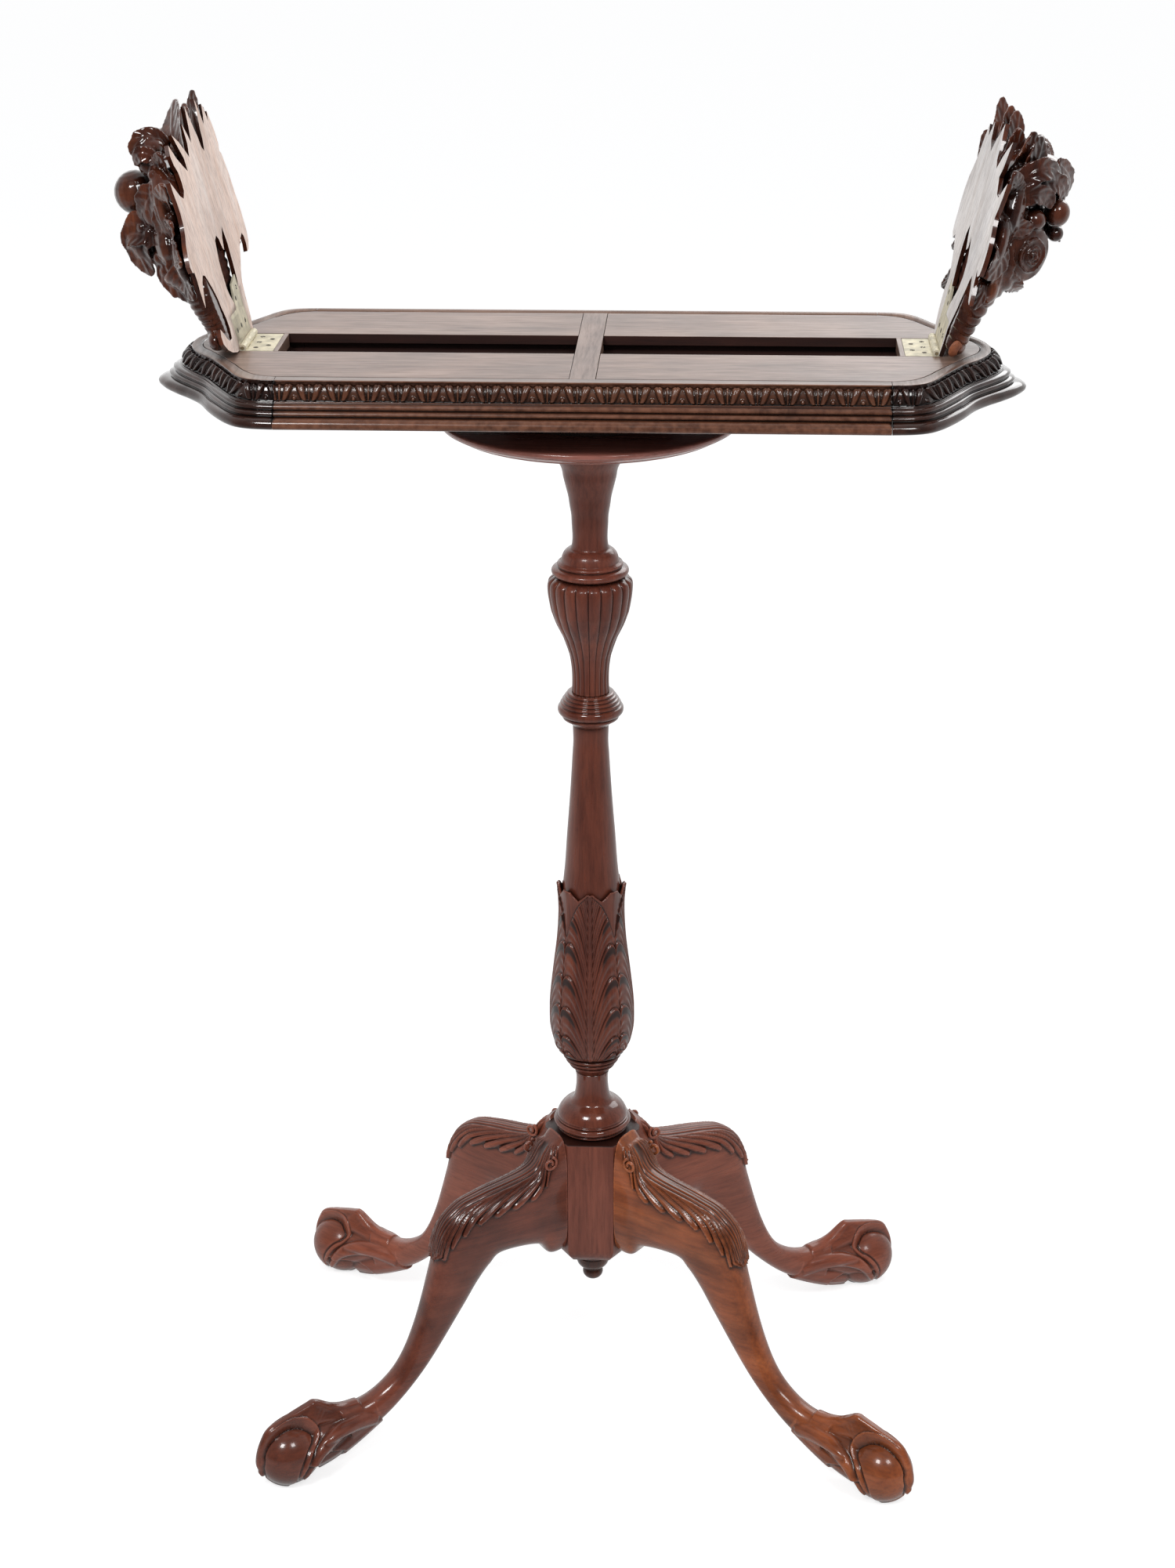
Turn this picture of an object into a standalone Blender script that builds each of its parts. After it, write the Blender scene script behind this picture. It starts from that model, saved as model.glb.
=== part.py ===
"""A carved pedestal book stand, in metres, +Z up, with the front towards -Y and the floor at Z = 0.

Four cabriole legs and a turned, carved pillar carry a round table. A long moulded top with serpentine
ends turns on it. Two carved bookends are hinged to slides that run in slots of the top.
"""

import math

import bmesh
import bpy
from mathutils import Matrix, Vector

# Clearances
CLEAR = 0.0003
SLIDE_CLEAR = 0.0005
PLAN_CLEAR = 0.00045
OVERRUN = 0.004

# Block and legs
BLOCK_BOTTOM = 0.1198
BLOCK_HEIGHT = 0.0849
BLOCK_ROUNDING = 0.0148
SHOULDER_HEIGHT = 0.0065
LEG_ANGLE = math.radians(33.5)
LEG_SEAT = 0.0292
LEG_WIDTH = 0.0310
LEG_REACH = 0.2410
KNEE_HEIGHT = 0.2130
BALL_RADIUS = 0.0195
BALL_FLAT = 0.0010
TALON_RADIUS = 0.0084
FINIAL_RADIUS = 0.0124
FINIAL_HEIGHT = 0.0237
FINIAL_PEG_RADIUS = 0.0050
FINIAL_PEG_LENGTH = 0.0120

# Pillar
PILLAR_FOOT_HEIGHT = 0.0385
PILLAR_FOOT_RADIUS = 0.0279
PILLAR_TENON_RADIUS = 0.0110
PILLAR_TENON_LENGTH = 0.0400
BALUSTER_HEIGHT = 0.2572
BALUSTER_RADIUS = 0.0288
SLEEVE_START = 0.0090
SLEEVE_HEIGHT = 0.1310
SLEEVE_TIP_DROP = 0.0120
SLEEVE_LEAVES = 4
DOWEL_RADIUS = 0.0060
DOWEL_LENGTH = 0.0120
RING_HEIGHT = 0.0222
RING_RADIUS = 0.0216
VASE_HEIGHT = 0.1719
VASE_RADIUS = 0.0277
REED_START = 0.0230
REED_HEIGHT = 0.0560
REEDS = 20
REED_DEPTH_SHARE = 0.09

# Round table and pivot
DISC_RADIUS = 0.0950
DISC_THICKNESS = 0.0135
BOLT_RADIUS = 0.0025
BOLT_GRIP = 0.0250
WASHER_RADIUS = 0.0065
WASHER_THICKNESS = 0.0008
NUT_RADIUS = 0.0046
NUT_HEIGHT = 0.0034
NUT_WELL_RADIUS = 0.0078
NUT_WELL_DEPTH = 0.0052
BEARING_RADIUS = 0.0550
BEARING_HEIGHT = 0.0179

# Top
UNDER_BOARD_THICKNESS = 0.0100
RUNNER_HEIGHT = 0.0089
PANEL_THICKNESS = 0.0060
MOULDING_HEIGHT = 0.0265
SEAM_X = 0.1830
BAND_HALF_WIDTH = 0.0077
INNER_HALF_DEPTH = 0.0861
LIP_HALF_DEPTH = 0.0945
ROLL_HALF_DEPTH = 0.1100
INNER_NOSE_X = 0.2418
LIP_NOSE_X = 0.2480
ROLL_NOSE_X = 0.2712
SLOT_HALF_WIDTH = 0.0233
SLOT_END_X = 0.2165
GROOVE_HEIGHT = 0.0040
GROOVE_DEPTH = 0.0052

# Slides and hinges
SLIDE_LENGTH = 0.0247
STRIP_WIDTH = 0.0029
STRIP_DEPTH = 0.0080
LEAF_THICKNESS = 0.0012
LEAF_WIDTH = 0.0440
FIXED_LEAF_REACH = 0.0190
MOVING_LEAF_REACH = 0.0380
KNUCKLE_RADIUS = 0.0025
PIN_RADIUS = 0.0009
KNUCKLES = 5

# Bookends
LEAN = math.radians(14)
BOOKEND_HEIGHT = 0.1500
BOOKEND_HALF_DEPTH = 0.0930
BOARD_THICKNESS = 0.0070
CARVING_DEPTH = 0.0540
STUB_RADIUS = 0.0060
STUB_LENGTH = 0.0330
STUB_REACH = 0.0580

# Levels, from the floor up
block_top = BLOCK_BOTTOM + BLOCK_HEIGHT
shoulder_top = block_top + SHOULDER_HEIGHT
pillar_foot_low = shoulder_top + CLEAR
baluster_low = pillar_foot_low + PILLAR_FOOT_HEIGHT + CLEAR
ring_low = baluster_low + BALUSTER_HEIGHT + CLEAR
vase_low = ring_low + RING_HEIGHT + CLEAR
disc_low = vase_low + VASE_HEIGHT + CLEAR
disc_top = disc_low + DISC_THICKNESS
bearing_low = disc_top + CLEAR
under_board_low = bearing_low + BEARING_HEIGHT + CLEAR
under_board_top = under_board_low + UNDER_BOARD_THICKNESS
runner_low = under_board_top + CLEAR
runner_top = runner_low + RUNNER_HEIGHT
panel_low = runner_top + CLEAR
top_level = panel_low + PANEL_THICKNESS

weld = CLEAR / 10

# Hinge axis, outer end of the slides and the space for the moving pieces
slide_outer_x = SLOT_END_X - SLIDE_CLEAR
slide_inner_x = slide_outer_x - SLIDE_LENGTH
hinge_x = slide_outer_x - KNUCKLE_RADIUS
hinge_z = top_level - LEAF_THICKNESS + KNUCKLE_RADIUS
face_out = KNUCKLE_RADIUS - LEAF_THICKNESS
slide_top = top_level - LEAF_THICKNESS - CLEAR
groove_floor = runner_top - GROOVE_HEIGHT

# Shares of the sizes above, written (radius, height) down the outer side
pillar_foot_shares = [
    (0.42, 1.00), (0.41, 0.81), (0.44, 0.61), (0.52, 0.42), (0.70, 0.33),
    (0.82, 0.23), (0.93, 0.14), (1.00, 0.05), (0.98, 0.00),
]
baluster_shares = [
    (0.41, 1.000), (0.40, 0.955), (0.43, 0.910), (0.47, 0.845), (0.53, 0.760), (0.58, 0.680),
    (0.62, 0.600), (0.64, 0.540), (0.60, 0.300), (0.60, 0.045), (0.66, 0.040), (0.66, 0.032),
    (0.60, 0.028), (0.60, 0.022), (0.56, 0.012), (0.52, 0.008), (0.42, 0.000),
]
sleeve_shares = [
    (0.45, 0.000), (0.84, 0.040), (0.97, 0.130), (1.00, 0.240), (0.94, 0.460), (0.80, 0.770), (0.80, 0.920),
    (0.85, 1.000),
]
ring_shares = [
    (0.69, 1.00), (0.77, 0.93), (0.78, 0.85), (0.85, 0.80), (0.86, 0.72), (0.94, 0.67), (1.00, 0.57),
    (1.00, 0.44), (0.93, 0.33), (0.84, 0.28), (0.83, 0.18), (0.65, 0.12), (0.58, 0.00),
]
vase_shares = [
    (1.10, 1.000), (1.08, 0.992), (0.87, 0.930), (0.65, 0.880), (0.54, 0.780), (0.45, 0.710),
    (0.41, 0.630), (0.44, 0.580), (0.50, 0.555), (0.72, 0.520), (0.86, 0.497),
    (0.95, 0.480), (0.95, 0.470), (0.89, 0.463), (0.97, 0.456), (0.98, 0.444), (0.88, 0.434),
    (0.60, 0.300), (0.45, 0.145), (0.43, 0.080), (0.44, 0.020), (0.50, 0.000),
]
reed_shares = [
    (0.34, 0.00), (0.62, 0.18), (0.85, 0.47), (1.00, 0.80), (0.94, 0.97), (0.76, 1.00),
]
disc_shares = [
    (0.980, 1.00), (1.000, 0.94), (1.000, 0.84), (0.970, 0.72), (0.955, 0.60), (0.915, 0.42),
    (0.840, 0.27), (0.530, 0.08), (0.330, 0.00),
]
finial_shares = [
    (0.97, 1.00), (1.00, 0.82), (0.98, 0.42), (0.66, 0.34), (0.46, 0.30), (0.58, 0.20), (0.50, 0.09),
    (0.00, 0.00),
]
shoulder_share = 0.98
block_rounding_shares = [(0.44, 0.00), (0.60, 0.10), (0.80, 0.32), (0.94, 0.66), (1.00, 1.00)]

# Cabriole leg: upper edge, lower edge and width down the leg. Reach is measured from the pillar's axis as
# a share of the leg's reach, height as a share of the knee's height, width as a share of the leg's width.
# The last value is how square the section is, from 0 for an ellipse to 1.
leg_shares = [
    ((0.122, 1.000), (0.122, 0.555), 1.00, 1.00),
    ((0.165, 0.935), (0.165, 0.553), 1.00, 0.90),
    ((0.215, 0.865), (0.205, 0.598), 0.97, 0.70),
    ((0.373, 0.832), (0.320, 0.610), 0.92, 0.55),
    ((0.448, 0.808), (0.361, 0.577), 0.89, 0.50),
    ((0.504, 0.745), (0.400, 0.525), 0.85, 0.45),
    ((0.537, 0.610), (0.446, 0.449), 0.77, 0.35),
    ((0.590, 0.420), (0.539, 0.306), 0.67, 0.25),
    ((0.645, 0.296), (0.602, 0.227), 0.63, 0.20),
    ((0.786, 0.203), (0.743, 0.101), 0.64, 0.20),
    ((0.855, 0.216), (0.813, 0.064), 0.74, 0.20),
    ((0.912, 0.258), (0.880, 0.048), 0.88, 0.20),
    ((0.965, 0.236), (0.965, 0.065), 0.92, 0.20),
    ((1.010, 0.205), (1.010, 0.095), 0.78, 0.20),
]
# Talons over the ball: (reach from the ball's centre, to the side, height, radius), the first three as
# shares of the ball's radius and the last as a share of the talon's radius.
front_talon_shares = [
    (-2.00, 0, 2.15, 0.85), (-0.97, 0, 2.56, 1.00), (-0.38, 0, 2.57, 1.00), (0.26, 0, 2.30, 0.92),
    (0.70, 0, 1.96, 0.86), (0.98, 0, 1.40, 0.76), (1.05, 0, 0.75, 0.58), (0.96, 0, 0.25, 0.28),
]
side_talon_shares = [
    (-2.30, 0.35, 1.50, 0.75), (-1.55, 0.66, 1.66, 0.74), (-1.00, 0.86, 1.66, 0.74),
    (-0.50, 1.00, 1.32, 0.66), (-0.28, 1.06, 0.85, 0.54), (-0.20, 0.97, 0.30, 0.30),
]
rear_talon_shares = [
    (-3.00, 0, 1.45, 0.80), (-2.31, 0, 1.00, 0.88), (-1.64, 0, 0.66, 0.80), (-1.24, 0, 0.45, 0.60),
    (-1.05, 0, 0.24, 0.34),
]

# Plan of a quarter of the top: shares of the way from the seam to the nose, and of the half depth
inner_plan_shares = [
    (0.000, 1.000), (0.176, 0.964), (0.295, 0.900), (0.398, 0.801), (0.500, 0.668), (0.611, 0.534),
    (0.730, 0.401), (0.841, 0.279), (0.932, 0.192), (0.983, 0.099), (1.000, 0.000),
]
lip_plan_shares = [
    (0.000, 1.000), (0.190, 0.984), (0.313, 0.937), (0.406, 0.847), (0.494, 0.725), (0.599, 0.584),
    (0.722, 0.436), (0.843, 0.333), (0.927, 0.228), (0.985, 0.111), (1.000, 0.000),
]
roll_plan_shares = [
    (0.000, 1.000), (0.151, 0.986), (0.259, 0.950), (0.344, 0.882), (0.424, 0.786), (0.509, 0.659),
    (0.606, 0.486), (0.714, 0.359), (0.827, 0.255), (0.935, 0.136), (1.000, 0.000),
]
# Moulding section from the lip down: shares of the way from lip to roll, and of the moulding's height
moulding_shares = [
    (0.00, 1.000), (0.14, 0.900), (0.32, 0.740), (0.36, 0.560), (0.44, 0.530), (0.56, 0.430),
    (0.48, 0.370), (0.72, 0.290), (0.62, 0.210), (0.90, 0.185), (1.00, 0.110), (0.98, 0.040), (0.86, 0.000),
]

# Outlines of the bookends' flat backs: shares of the half depth (to the rear) and of the height
board_shares = {
    "left": [
        (-0.34, 0.000), (0.30, 0.000), (0.36, 0.090), (0.40, 0.200), (0.57, 0.280), (0.74, 0.340),
        (0.86, 0.335), (0.83, 0.275), (0.96, 0.305), (1.00, 0.410), (0.98, 0.550), (0.93, 0.690),
        (0.92, 0.790), (0.86, 0.880), (0.76, 0.920), (0.66, 0.845), (0.59, 0.960), (0.51, 0.840),
        (0.44, 0.755), (0.37, 0.820), (0.26, 0.960), (0.14, 0.820), (0.03, 0.910), (-0.03, 0.780),
        (-0.34, 0.905), (-0.19, 0.740), (-0.51, 0.880), (-0.46, 0.765), (-0.45, 0.690), (-0.75, 0.755),
        (-0.73, 0.630), (-0.84, 0.515), (-0.90, 0.435), (-0.83, 0.370), (-0.82, 0.260), (-0.64, 0.370),
        (-0.53, 0.325), (-0.40, 0.195), (-0.35, 0.100),
    ],
    "right": [
        (-0.26, 0.000), (0.31, 0.000), (0.41, 0.095), (0.44, 0.180), (0.40, 0.250), (0.53, 0.320),
        (0.71, 0.380), (0.80, 0.355), (0.92, 0.405), (0.94, 0.510), (0.89, 0.615), (0.76, 0.705),
        (0.72, 0.770), (0.62, 0.865), (0.52, 0.825), (0.41, 0.895), (0.34, 0.830), (0.19, 0.795),
        (-0.10, 1.000), (-0.21, 0.805), (-0.30, 0.780), (-0.68, 0.930), (-0.54, 0.775), (-0.67, 0.720),
        (-0.98, 0.800), (-0.88, 0.655), (-0.97, 0.575), (-1.00, 0.495), (-0.96, 0.430), (-0.80, 0.440),
        (-0.91, 0.305), (-0.67, 0.390), (-0.55, 0.315), (-0.44, 0.225), (-0.28, 0.115),
    ],
}
slit_shares = {
    "left": [
        (0.28, 0.450), (0.31, 0.380), (0.29, 0.300), (0.27, 0.225), (0.20, 0.155), (0.05, 0.135),
        (-0.04, 0.180), (-0.10, 0.240), (-0.08, 0.350), (-0.02, 0.430), (0.09, 0.420), (0.15, 0.370),
    ],
    "right": [
        (0.12, 0.500), (-0.03, 0.410), (-0.11, 0.430), (-0.09, 0.480), (-0.25, 0.390), (-0.27, 0.330),
        (-0.21, 0.270), (-0.11, 0.220), (-0.01, 0.140), (0.08, 0.190), (0.15, 0.290), (0.19, 0.395),
    ],
}
# Fruit, flowers and leaves: centre (to the rear, up the board, out) and radii, as shares of the half
# depth, the height and the carving's depth
fruit_shares = [
    ((-0.22, 0.63, 0.30), (0.46, 0.220, 0.29)),
    ((0.33, 0.63, 0.32), (0.44, 0.220, 0.30)),
    ((-0.22, 0.71, 0.60), (0.19, 0.110, 0.30)),
    ((0.33, 0.67, 0.65), (0.21, 0.110, 0.29)),
    ((-0.30, 0.50, 0.58), (0.19, 0.110, 0.29)),
    ((0.22, 0.47, 0.60), (0.20, 0.100, 0.28)),
    ((0.60, 0.53, 0.46), (0.18, 0.110, 0.28)),
    ((0.64, 0.71, 0.36), (0.17, 0.100, 0.26)),
    ((-0.16, 0.85, 0.34), (0.20, 0.095, 0.26)),
    ((0.22, 0.85, 0.34), (0.20, 0.085, 0.24)),
    ((-0.58, 0.60, 0.24), (0.22, 0.125, 0.22)),
]
# Horns: points (to the rear, up the board, out, radius), as the same shares, the radius one of the stub's
front_horn_shares = [
    (-0.45, 0.055, 0.16, 0.95), (-0.48, 0.120, 0.17, 1.10), (-0.53, 0.200, 0.19, 1.30),
    (-0.56, 0.290, 0.23, 1.55), (-0.54, 0.390, 0.31, 1.90), (-0.46, 0.490, 0.40, 2.20),
]
middle_horn_shares = [
    (0.09, 0.065, 0.16, 1.00), (0.09, 0.160, 0.19, 1.30), (0.07, 0.290, 0.24, 1.80),
    (0.07, 0.400, 0.30, 2.30), (0.09, 0.490, 0.44, 2.80),
]
# Moving leaf: its corners as shares of half the width and of the reach, and the way each corner moves
# to leave room round it
moving_leaf_shares = [
    (-1.0, 0.00, -1, -1), (1.0, 0.00, 1, -1), (1.0, 1.00, 1, 1), (0.3, 0.92, -1, 1), (-0.1, 0.54, -1, 1),
    (-1.0, 0.54, -1, 1),
]


def clear_scene():
    for old in list(bpy.data.objects):
        bpy.data.objects.remove(old)


def new_collection(name):
    collection = bpy.data.collections.new(name)
    bpy.context.scene.collection.children.link(collection)
    return collection


def finish(name, colour, roughness=0.45, metallic=0.0):
    """A Principled BSDF of one colour, roughness and metallic value."""
    material = bpy.data.materials.new(name)
    material.use_nodes = True
    shader = material.node_tree.nodes["Principled BSDF"]
    shader.inputs["Base Color"].default_value = (*colour, 1)
    shader.inputs["Roughness"].default_value = roughness
    shader.inputs["Metallic"].default_value = metallic
    return material


clear_scene()
PARTS = new_collection("book_stand")
CUTTERS = new_collection("cutters")
GREY_WOOD = finish("weathered_top", (0.33, 0.27, 0.24), 0.5)
RED_WOOD = finish("red_mahogany", (0.16, 0.06, 0.04), 0.35)
DARK_WOOD = finish("dark_mahogany", (0.07, 0.03, 0.025), 0.3)
INNER_WOOD = finish("inner_wood", (0.13, 0.06, 0.04), 0.7)
BRASS = finish("pale_brass", (0.56, 0.46, 0.28), 0.4, 0.9)
STEEL = finish("steel", (0.35, 0.34, 0.33), 0.4, 0.9)


def empty(name, location=(0, 0, 0), parent=None, turn=0):
    holder = bpy.data.objects.new(name, None)
    holder.location = location
    holder.rotation_euler = (0, turn, 0)
    holder.parent = parent
    PARTS.objects.link(holder)
    return holder


def place(name, mesh, material=None, parent=None):
    """A part in its collection, or a hidden helper among the cutters where it has no material."""
    part = bpy.data.objects.new(name, mesh)
    part.parent = parent
    if material is None:
        CUTTERS.objects.link(part)
        part.hide_render = True
        part.display_type = "WIRE"
    else:
        mesh.materials.clear()
        mesh.materials.append(material)
        PARTS.objects.link(part)
    return part


def mesh_from(name, shape, smooth_angle=None):
    bmesh.ops.recalc_face_normals(shape, faces=shape.faces)
    mesh = bpy.data.meshes.new(name)
    shape.to_mesh(mesh)
    shape.free()
    if smooth_angle:
        mesh.shade_smooth()
        mesh.set_sharp_from_angle(angle=smooth_angle)
    return mesh


def applied(part, name):
    """The mesh that an object's modifiers give, in the object's own frame."""
    bpy.context.view_layer.update()
    graph = bpy.context.evaluated_depsgraph_get()
    mesh = bpy.data.meshes.new_from_object(part.evaluated_get(graph))
    mesh.name = name
    return mesh


def box(name, low, high, material=None, parent=None):
    shape = bmesh.new()
    bmesh.ops.create_cube(shape, size=1)
    size = Matrix.Diagonal((*(Vector(high) - Vector(low)), 1))
    middle = Matrix.Translation((Vector(high) + Vector(low)) / 2)
    bmesh.ops.transform(shape, matrix=middle @ size, verts=shape.verts)
    return place(name, mesh_from(name, shape), material, parent)


def cylinder(name, radius, low, high, material=None, parent=None, sides=24, along_y=False):
    """A round bar between two points that differ along one axis, upright or along Y."""
    shape = bmesh.new()
    length = (Vector(high) - Vector(low)).length
    bmesh.ops.create_cone(
        shape, cap_ends=True, segments=sides, radius1=radius, radius2=radius, depth=length
    )
    turn = Matrix.Rotation(math.pi / 2, 4, "X") if along_y else Matrix.Identity(4)
    turn @= Matrix.Rotation(math.pi / sides, 4, "Z")
    middle = Matrix.Translation((Vector(high) + Vector(low)) / 2)
    bmesh.ops.transform(shape, matrix=middle @ turn, verts=shape.verts)
    return place(name, mesh_from(name, shape, math.radians(40)), material, parent)


def ball(name, centre, radii, sides, rings, parent=None):
    shape = bmesh.new()
    bmesh.ops.create_uvsphere(shape, u_segments=sides, v_segments=rings, radius=1)
    matrix = Matrix.Translation(centre) @ Matrix.Diagonal((*radii, 1))
    bmesh.ops.transform(shape, matrix=matrix, verts=shape.verts)
    return place(name, mesh_from(name, shape, math.radians(60)), None, parent)


def turned(name, profile, steps, material=None, parent=None):
    """A turned piece: the profile, (radius, height) down its outer side, is swept round Z."""
    mesh = bpy.data.meshes.new(name)
    count = len(profile)
    closed = profile[0][0] > 0
    edges = [(i, i + 1) for i in range(count - 1)] + ([(count - 1, 0)] if closed else [])
    mesh.from_pydata([(radius, 0, height) for radius, height in profile], edges, [])
    part = place(name, mesh, material, parent)
    screw = part.modifiers.new("turn", "SCREW")
    screw.steps = steps
    screw.render_steps = steps
    screw.use_merge_vertices = True
    screw.merge_threshold = weld
    screw.use_smooth_shade = True
    return part


def scaled_profile(shares, radius, low, height):
    return [(radius * across, low + height * up) for across, up in shares]


def loft(name, rings, material=None, parent=None, smooth_angle=None):
    """A closed solid through rings of equally many points, each end closed by a fan to its middle."""
    shape = bmesh.new()
    rows = [[shape.verts.new(point) for point in ring] for ring in rings]
    count = len(rows[0])
    for near, far in zip(rows, rows[1:]):
        for i in range(count):
            j = (i + 1) % count
            shape.faces.new((near[i], near[j], far[j], far[i]))
    for row in (rows[0], rows[-1]):
        middle = shape.verts.new(sum((v.co for v in row), Vector()) / count)
        for i in range(count):
            shape.faces.new((row[i], row[(i + 1) % count], middle))
    return place(name, mesh_from(name, shape, smooth_angle), material, parent)


def outline_solid(name, points, low, high, plane="XY", material=None, parent=None):
    """A flat outline given thickness. In plane XY it rises along Z, and in plane YZ it runs along X."""
    curve = bpy.data.curves.new(name, "CURVE")
    curve.dimensions = "2D"
    curve.fill_mode = "BOTH"
    curve.extrude = (high - low) / 2
    spline = curve.splines.new("POLY")
    spline.points.add(len(points) - 1)
    for point, (across, up) in zip(spline.points, points):
        point.co = (across, up, 0, 1)
    spline.use_cyclic_u = True
    outline = bpy.data.objects.new(name + "_outline", curve)
    CUTTERS.objects.link(outline)
    mesh = applied(outline, name)
    bpy.data.objects.remove(outline)
    lift = Matrix.Translation((0, 0, (high + low) / 2))
    turn = Matrix.Identity(4)
    if plane == "YZ":
        turn = Matrix(((0, 0, 1, 0), (1, 0, 0, 0), (0, 1, 0, 0), (0, 0, 0, 1)))
    mesh.transform(turn @ lift)
    shape = bmesh.new()
    shape.from_mesh(mesh)
    bmesh.ops.remove_doubles(shape, verts=shape.verts, dist=weld)
    bmesh.ops.dissolve_limit(shape, angle_limit=math.radians(0.5), verts=shape.verts, edges=shape.edges)
    return place(name, mesh_from(name, shape), material, parent)


def tapered_tube(name, points, radii, parent=None):
    """A round form along a path, with a radius of its own at each point."""
    curve = bpy.data.curves.new(name, "CURVE")
    curve.dimensions = "3D"
    curve.bevel_depth = 1
    curve.bevel_resolution = 1
    curve.use_fill_caps = True
    spline = curve.splines.new("POLY")
    spline.points.add(len(points) - 1)
    for target, point, radius in zip(spline.points, points, radii):
        target.co = (*point, 1)
        target.radius = radius
    path = bpy.data.objects.new(name + "_path", curve)
    CUTTERS.objects.link(path)
    mesh = applied(path, name)
    bpy.data.objects.remove(path)
    shape = bmesh.new()
    shape.from_mesh(mesh)
    bmesh.ops.remove_doubles(shape, verts=shape.verts, dist=weld)
    return place(name, mesh_from(name, shape, math.radians(60)), None, parent)


def combine(part, helper, operation):
    modifier = part.modifiers.new(operation.lower() + "_" + helper.name, "BOOLEAN")
    modifier.operation = operation
    modifier.object = helper


def smooth_rows(rows, steps):
    """Rows of numbers with steps more between each two, on a Catmull-Rom curve through them."""
    found = []
    for i in range(len(rows) - 1):
        before = rows[max(i - 1, 0)]
        after = rows[min(i + 2, len(rows) - 1)]
        for k in range(steps):
            t = k / steps
            weights = (-t + 2 * t**2 - t**3, 2 - 5 * t**2 + 3 * t**3, t + 4 * t**2 - 3 * t**3, t**3 - t**2)
            around = zip(before, rows[i], rows[i + 1], after)
            found.append(tuple(sum(w * x for w, x in zip(weights, values)) / 2 for values in around))
    found.append(tuple(rows[-1]))
    return found


def build_block():
    """The eight-sided block: a sloping shoulder, a rounded lower edge, holes for pillar and finial."""
    seat = Vector((math.cos(LEG_ANGLE), math.sin(LEG_ANGLE))) * LEG_SEAT
    along = Vector((-math.sin(LEG_ANGLE), math.cos(LEG_ANGLE))) * LEG_WIDTH / 2
    front, side = seat + along, seat - along
    corners = [side, front]
    corners += [Vector((-c.x, c.y)) for c in (front, side)]
    corners += [-c for c in (side, front)]
    corners += [Vector((c.x, -c.y)) for c in (front, side)]

    def ring(scale, height):
        return [(c.x * scale, c.y * scale, height) for c in corners]

    rounding_low = BLOCK_BOTTOM - BLOCK_ROUNDING
    rings = [ring(scale, rounding_low + up * BLOCK_ROUNDING) for scale, up in block_rounding_shares]
    shoulder_scale = PILLAR_FOOT_RADIUS / front.length * shoulder_share
    rings += [ring(1, block_top), ring(shoulder_scale, shoulder_top)]
    block = loft("base_block", rings, RED_WOOD)
    tenon_hole = cylinder(
        "tenon_hole", PILLAR_TENON_RADIUS + CLEAR,
        (0, 0, shoulder_top - PILLAR_TENON_LENGTH), (0, 0, shoulder_top + OVERRUN),
    )
    peg_hole = cylinder(
        "peg_hole", FINIAL_PEG_RADIUS + CLEAR,
        (0, 0, rounding_low - OVERRUN), (0, 0, rounding_low + FINIAL_PEG_LENGTH), sides=16,
    )
    combine(block, tenon_hole, "DIFFERENCE")
    combine(block, peg_hole, "DIFFERENCE")


def build_finial():
    high = BLOCK_BOTTOM - BLOCK_ROUNDING - CLEAR
    peg_top = high + FINIAL_PEG_LENGTH - CLEAR
    profile = [(0, peg_top), (FINIAL_PEG_RADIUS, peg_top), (FINIAL_PEG_RADIUS, high)]
    profile += scaled_profile(finial_shares, FINIAL_RADIUS, high - FINIAL_HEIGHT, FINIAL_HEIGHT)
    turned("drop_finial", profile, 12, DARK_WOOD)


def leg_ring(upper, lower, width, squareness, sides=8):
    """A section of the leg: an ellipse or rounded square that spans the upper and the lower edge."""
    power = 1 - 0.5 * squareness
    middle = (upper + lower) / 2
    half = (upper - lower) / 2
    ring = []
    for i in range(sides):
        angle = 2 * math.pi * i / sides
        across = math.copysign(abs(math.cos(angle)) ** power, math.cos(angle)) * width / 2
        up = math.copysign(abs(math.sin(angle)) ** power, math.sin(angle))
        point = middle + half * up
        ring.append((point.x, across, point.y))
    return ring


def talon(name, shares):
    ball_middle = BALL_RADIUS - BALL_FLAT
    points = [
        (LEG_REACH + reach * BALL_RADIUS, side * BALL_RADIUS, height * ball_middle)
        for reach, side, height, _ in shares
    ]
    return tapered_tube(name, points, [radius * TALON_RADIUS for *_, radius in shares])


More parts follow.
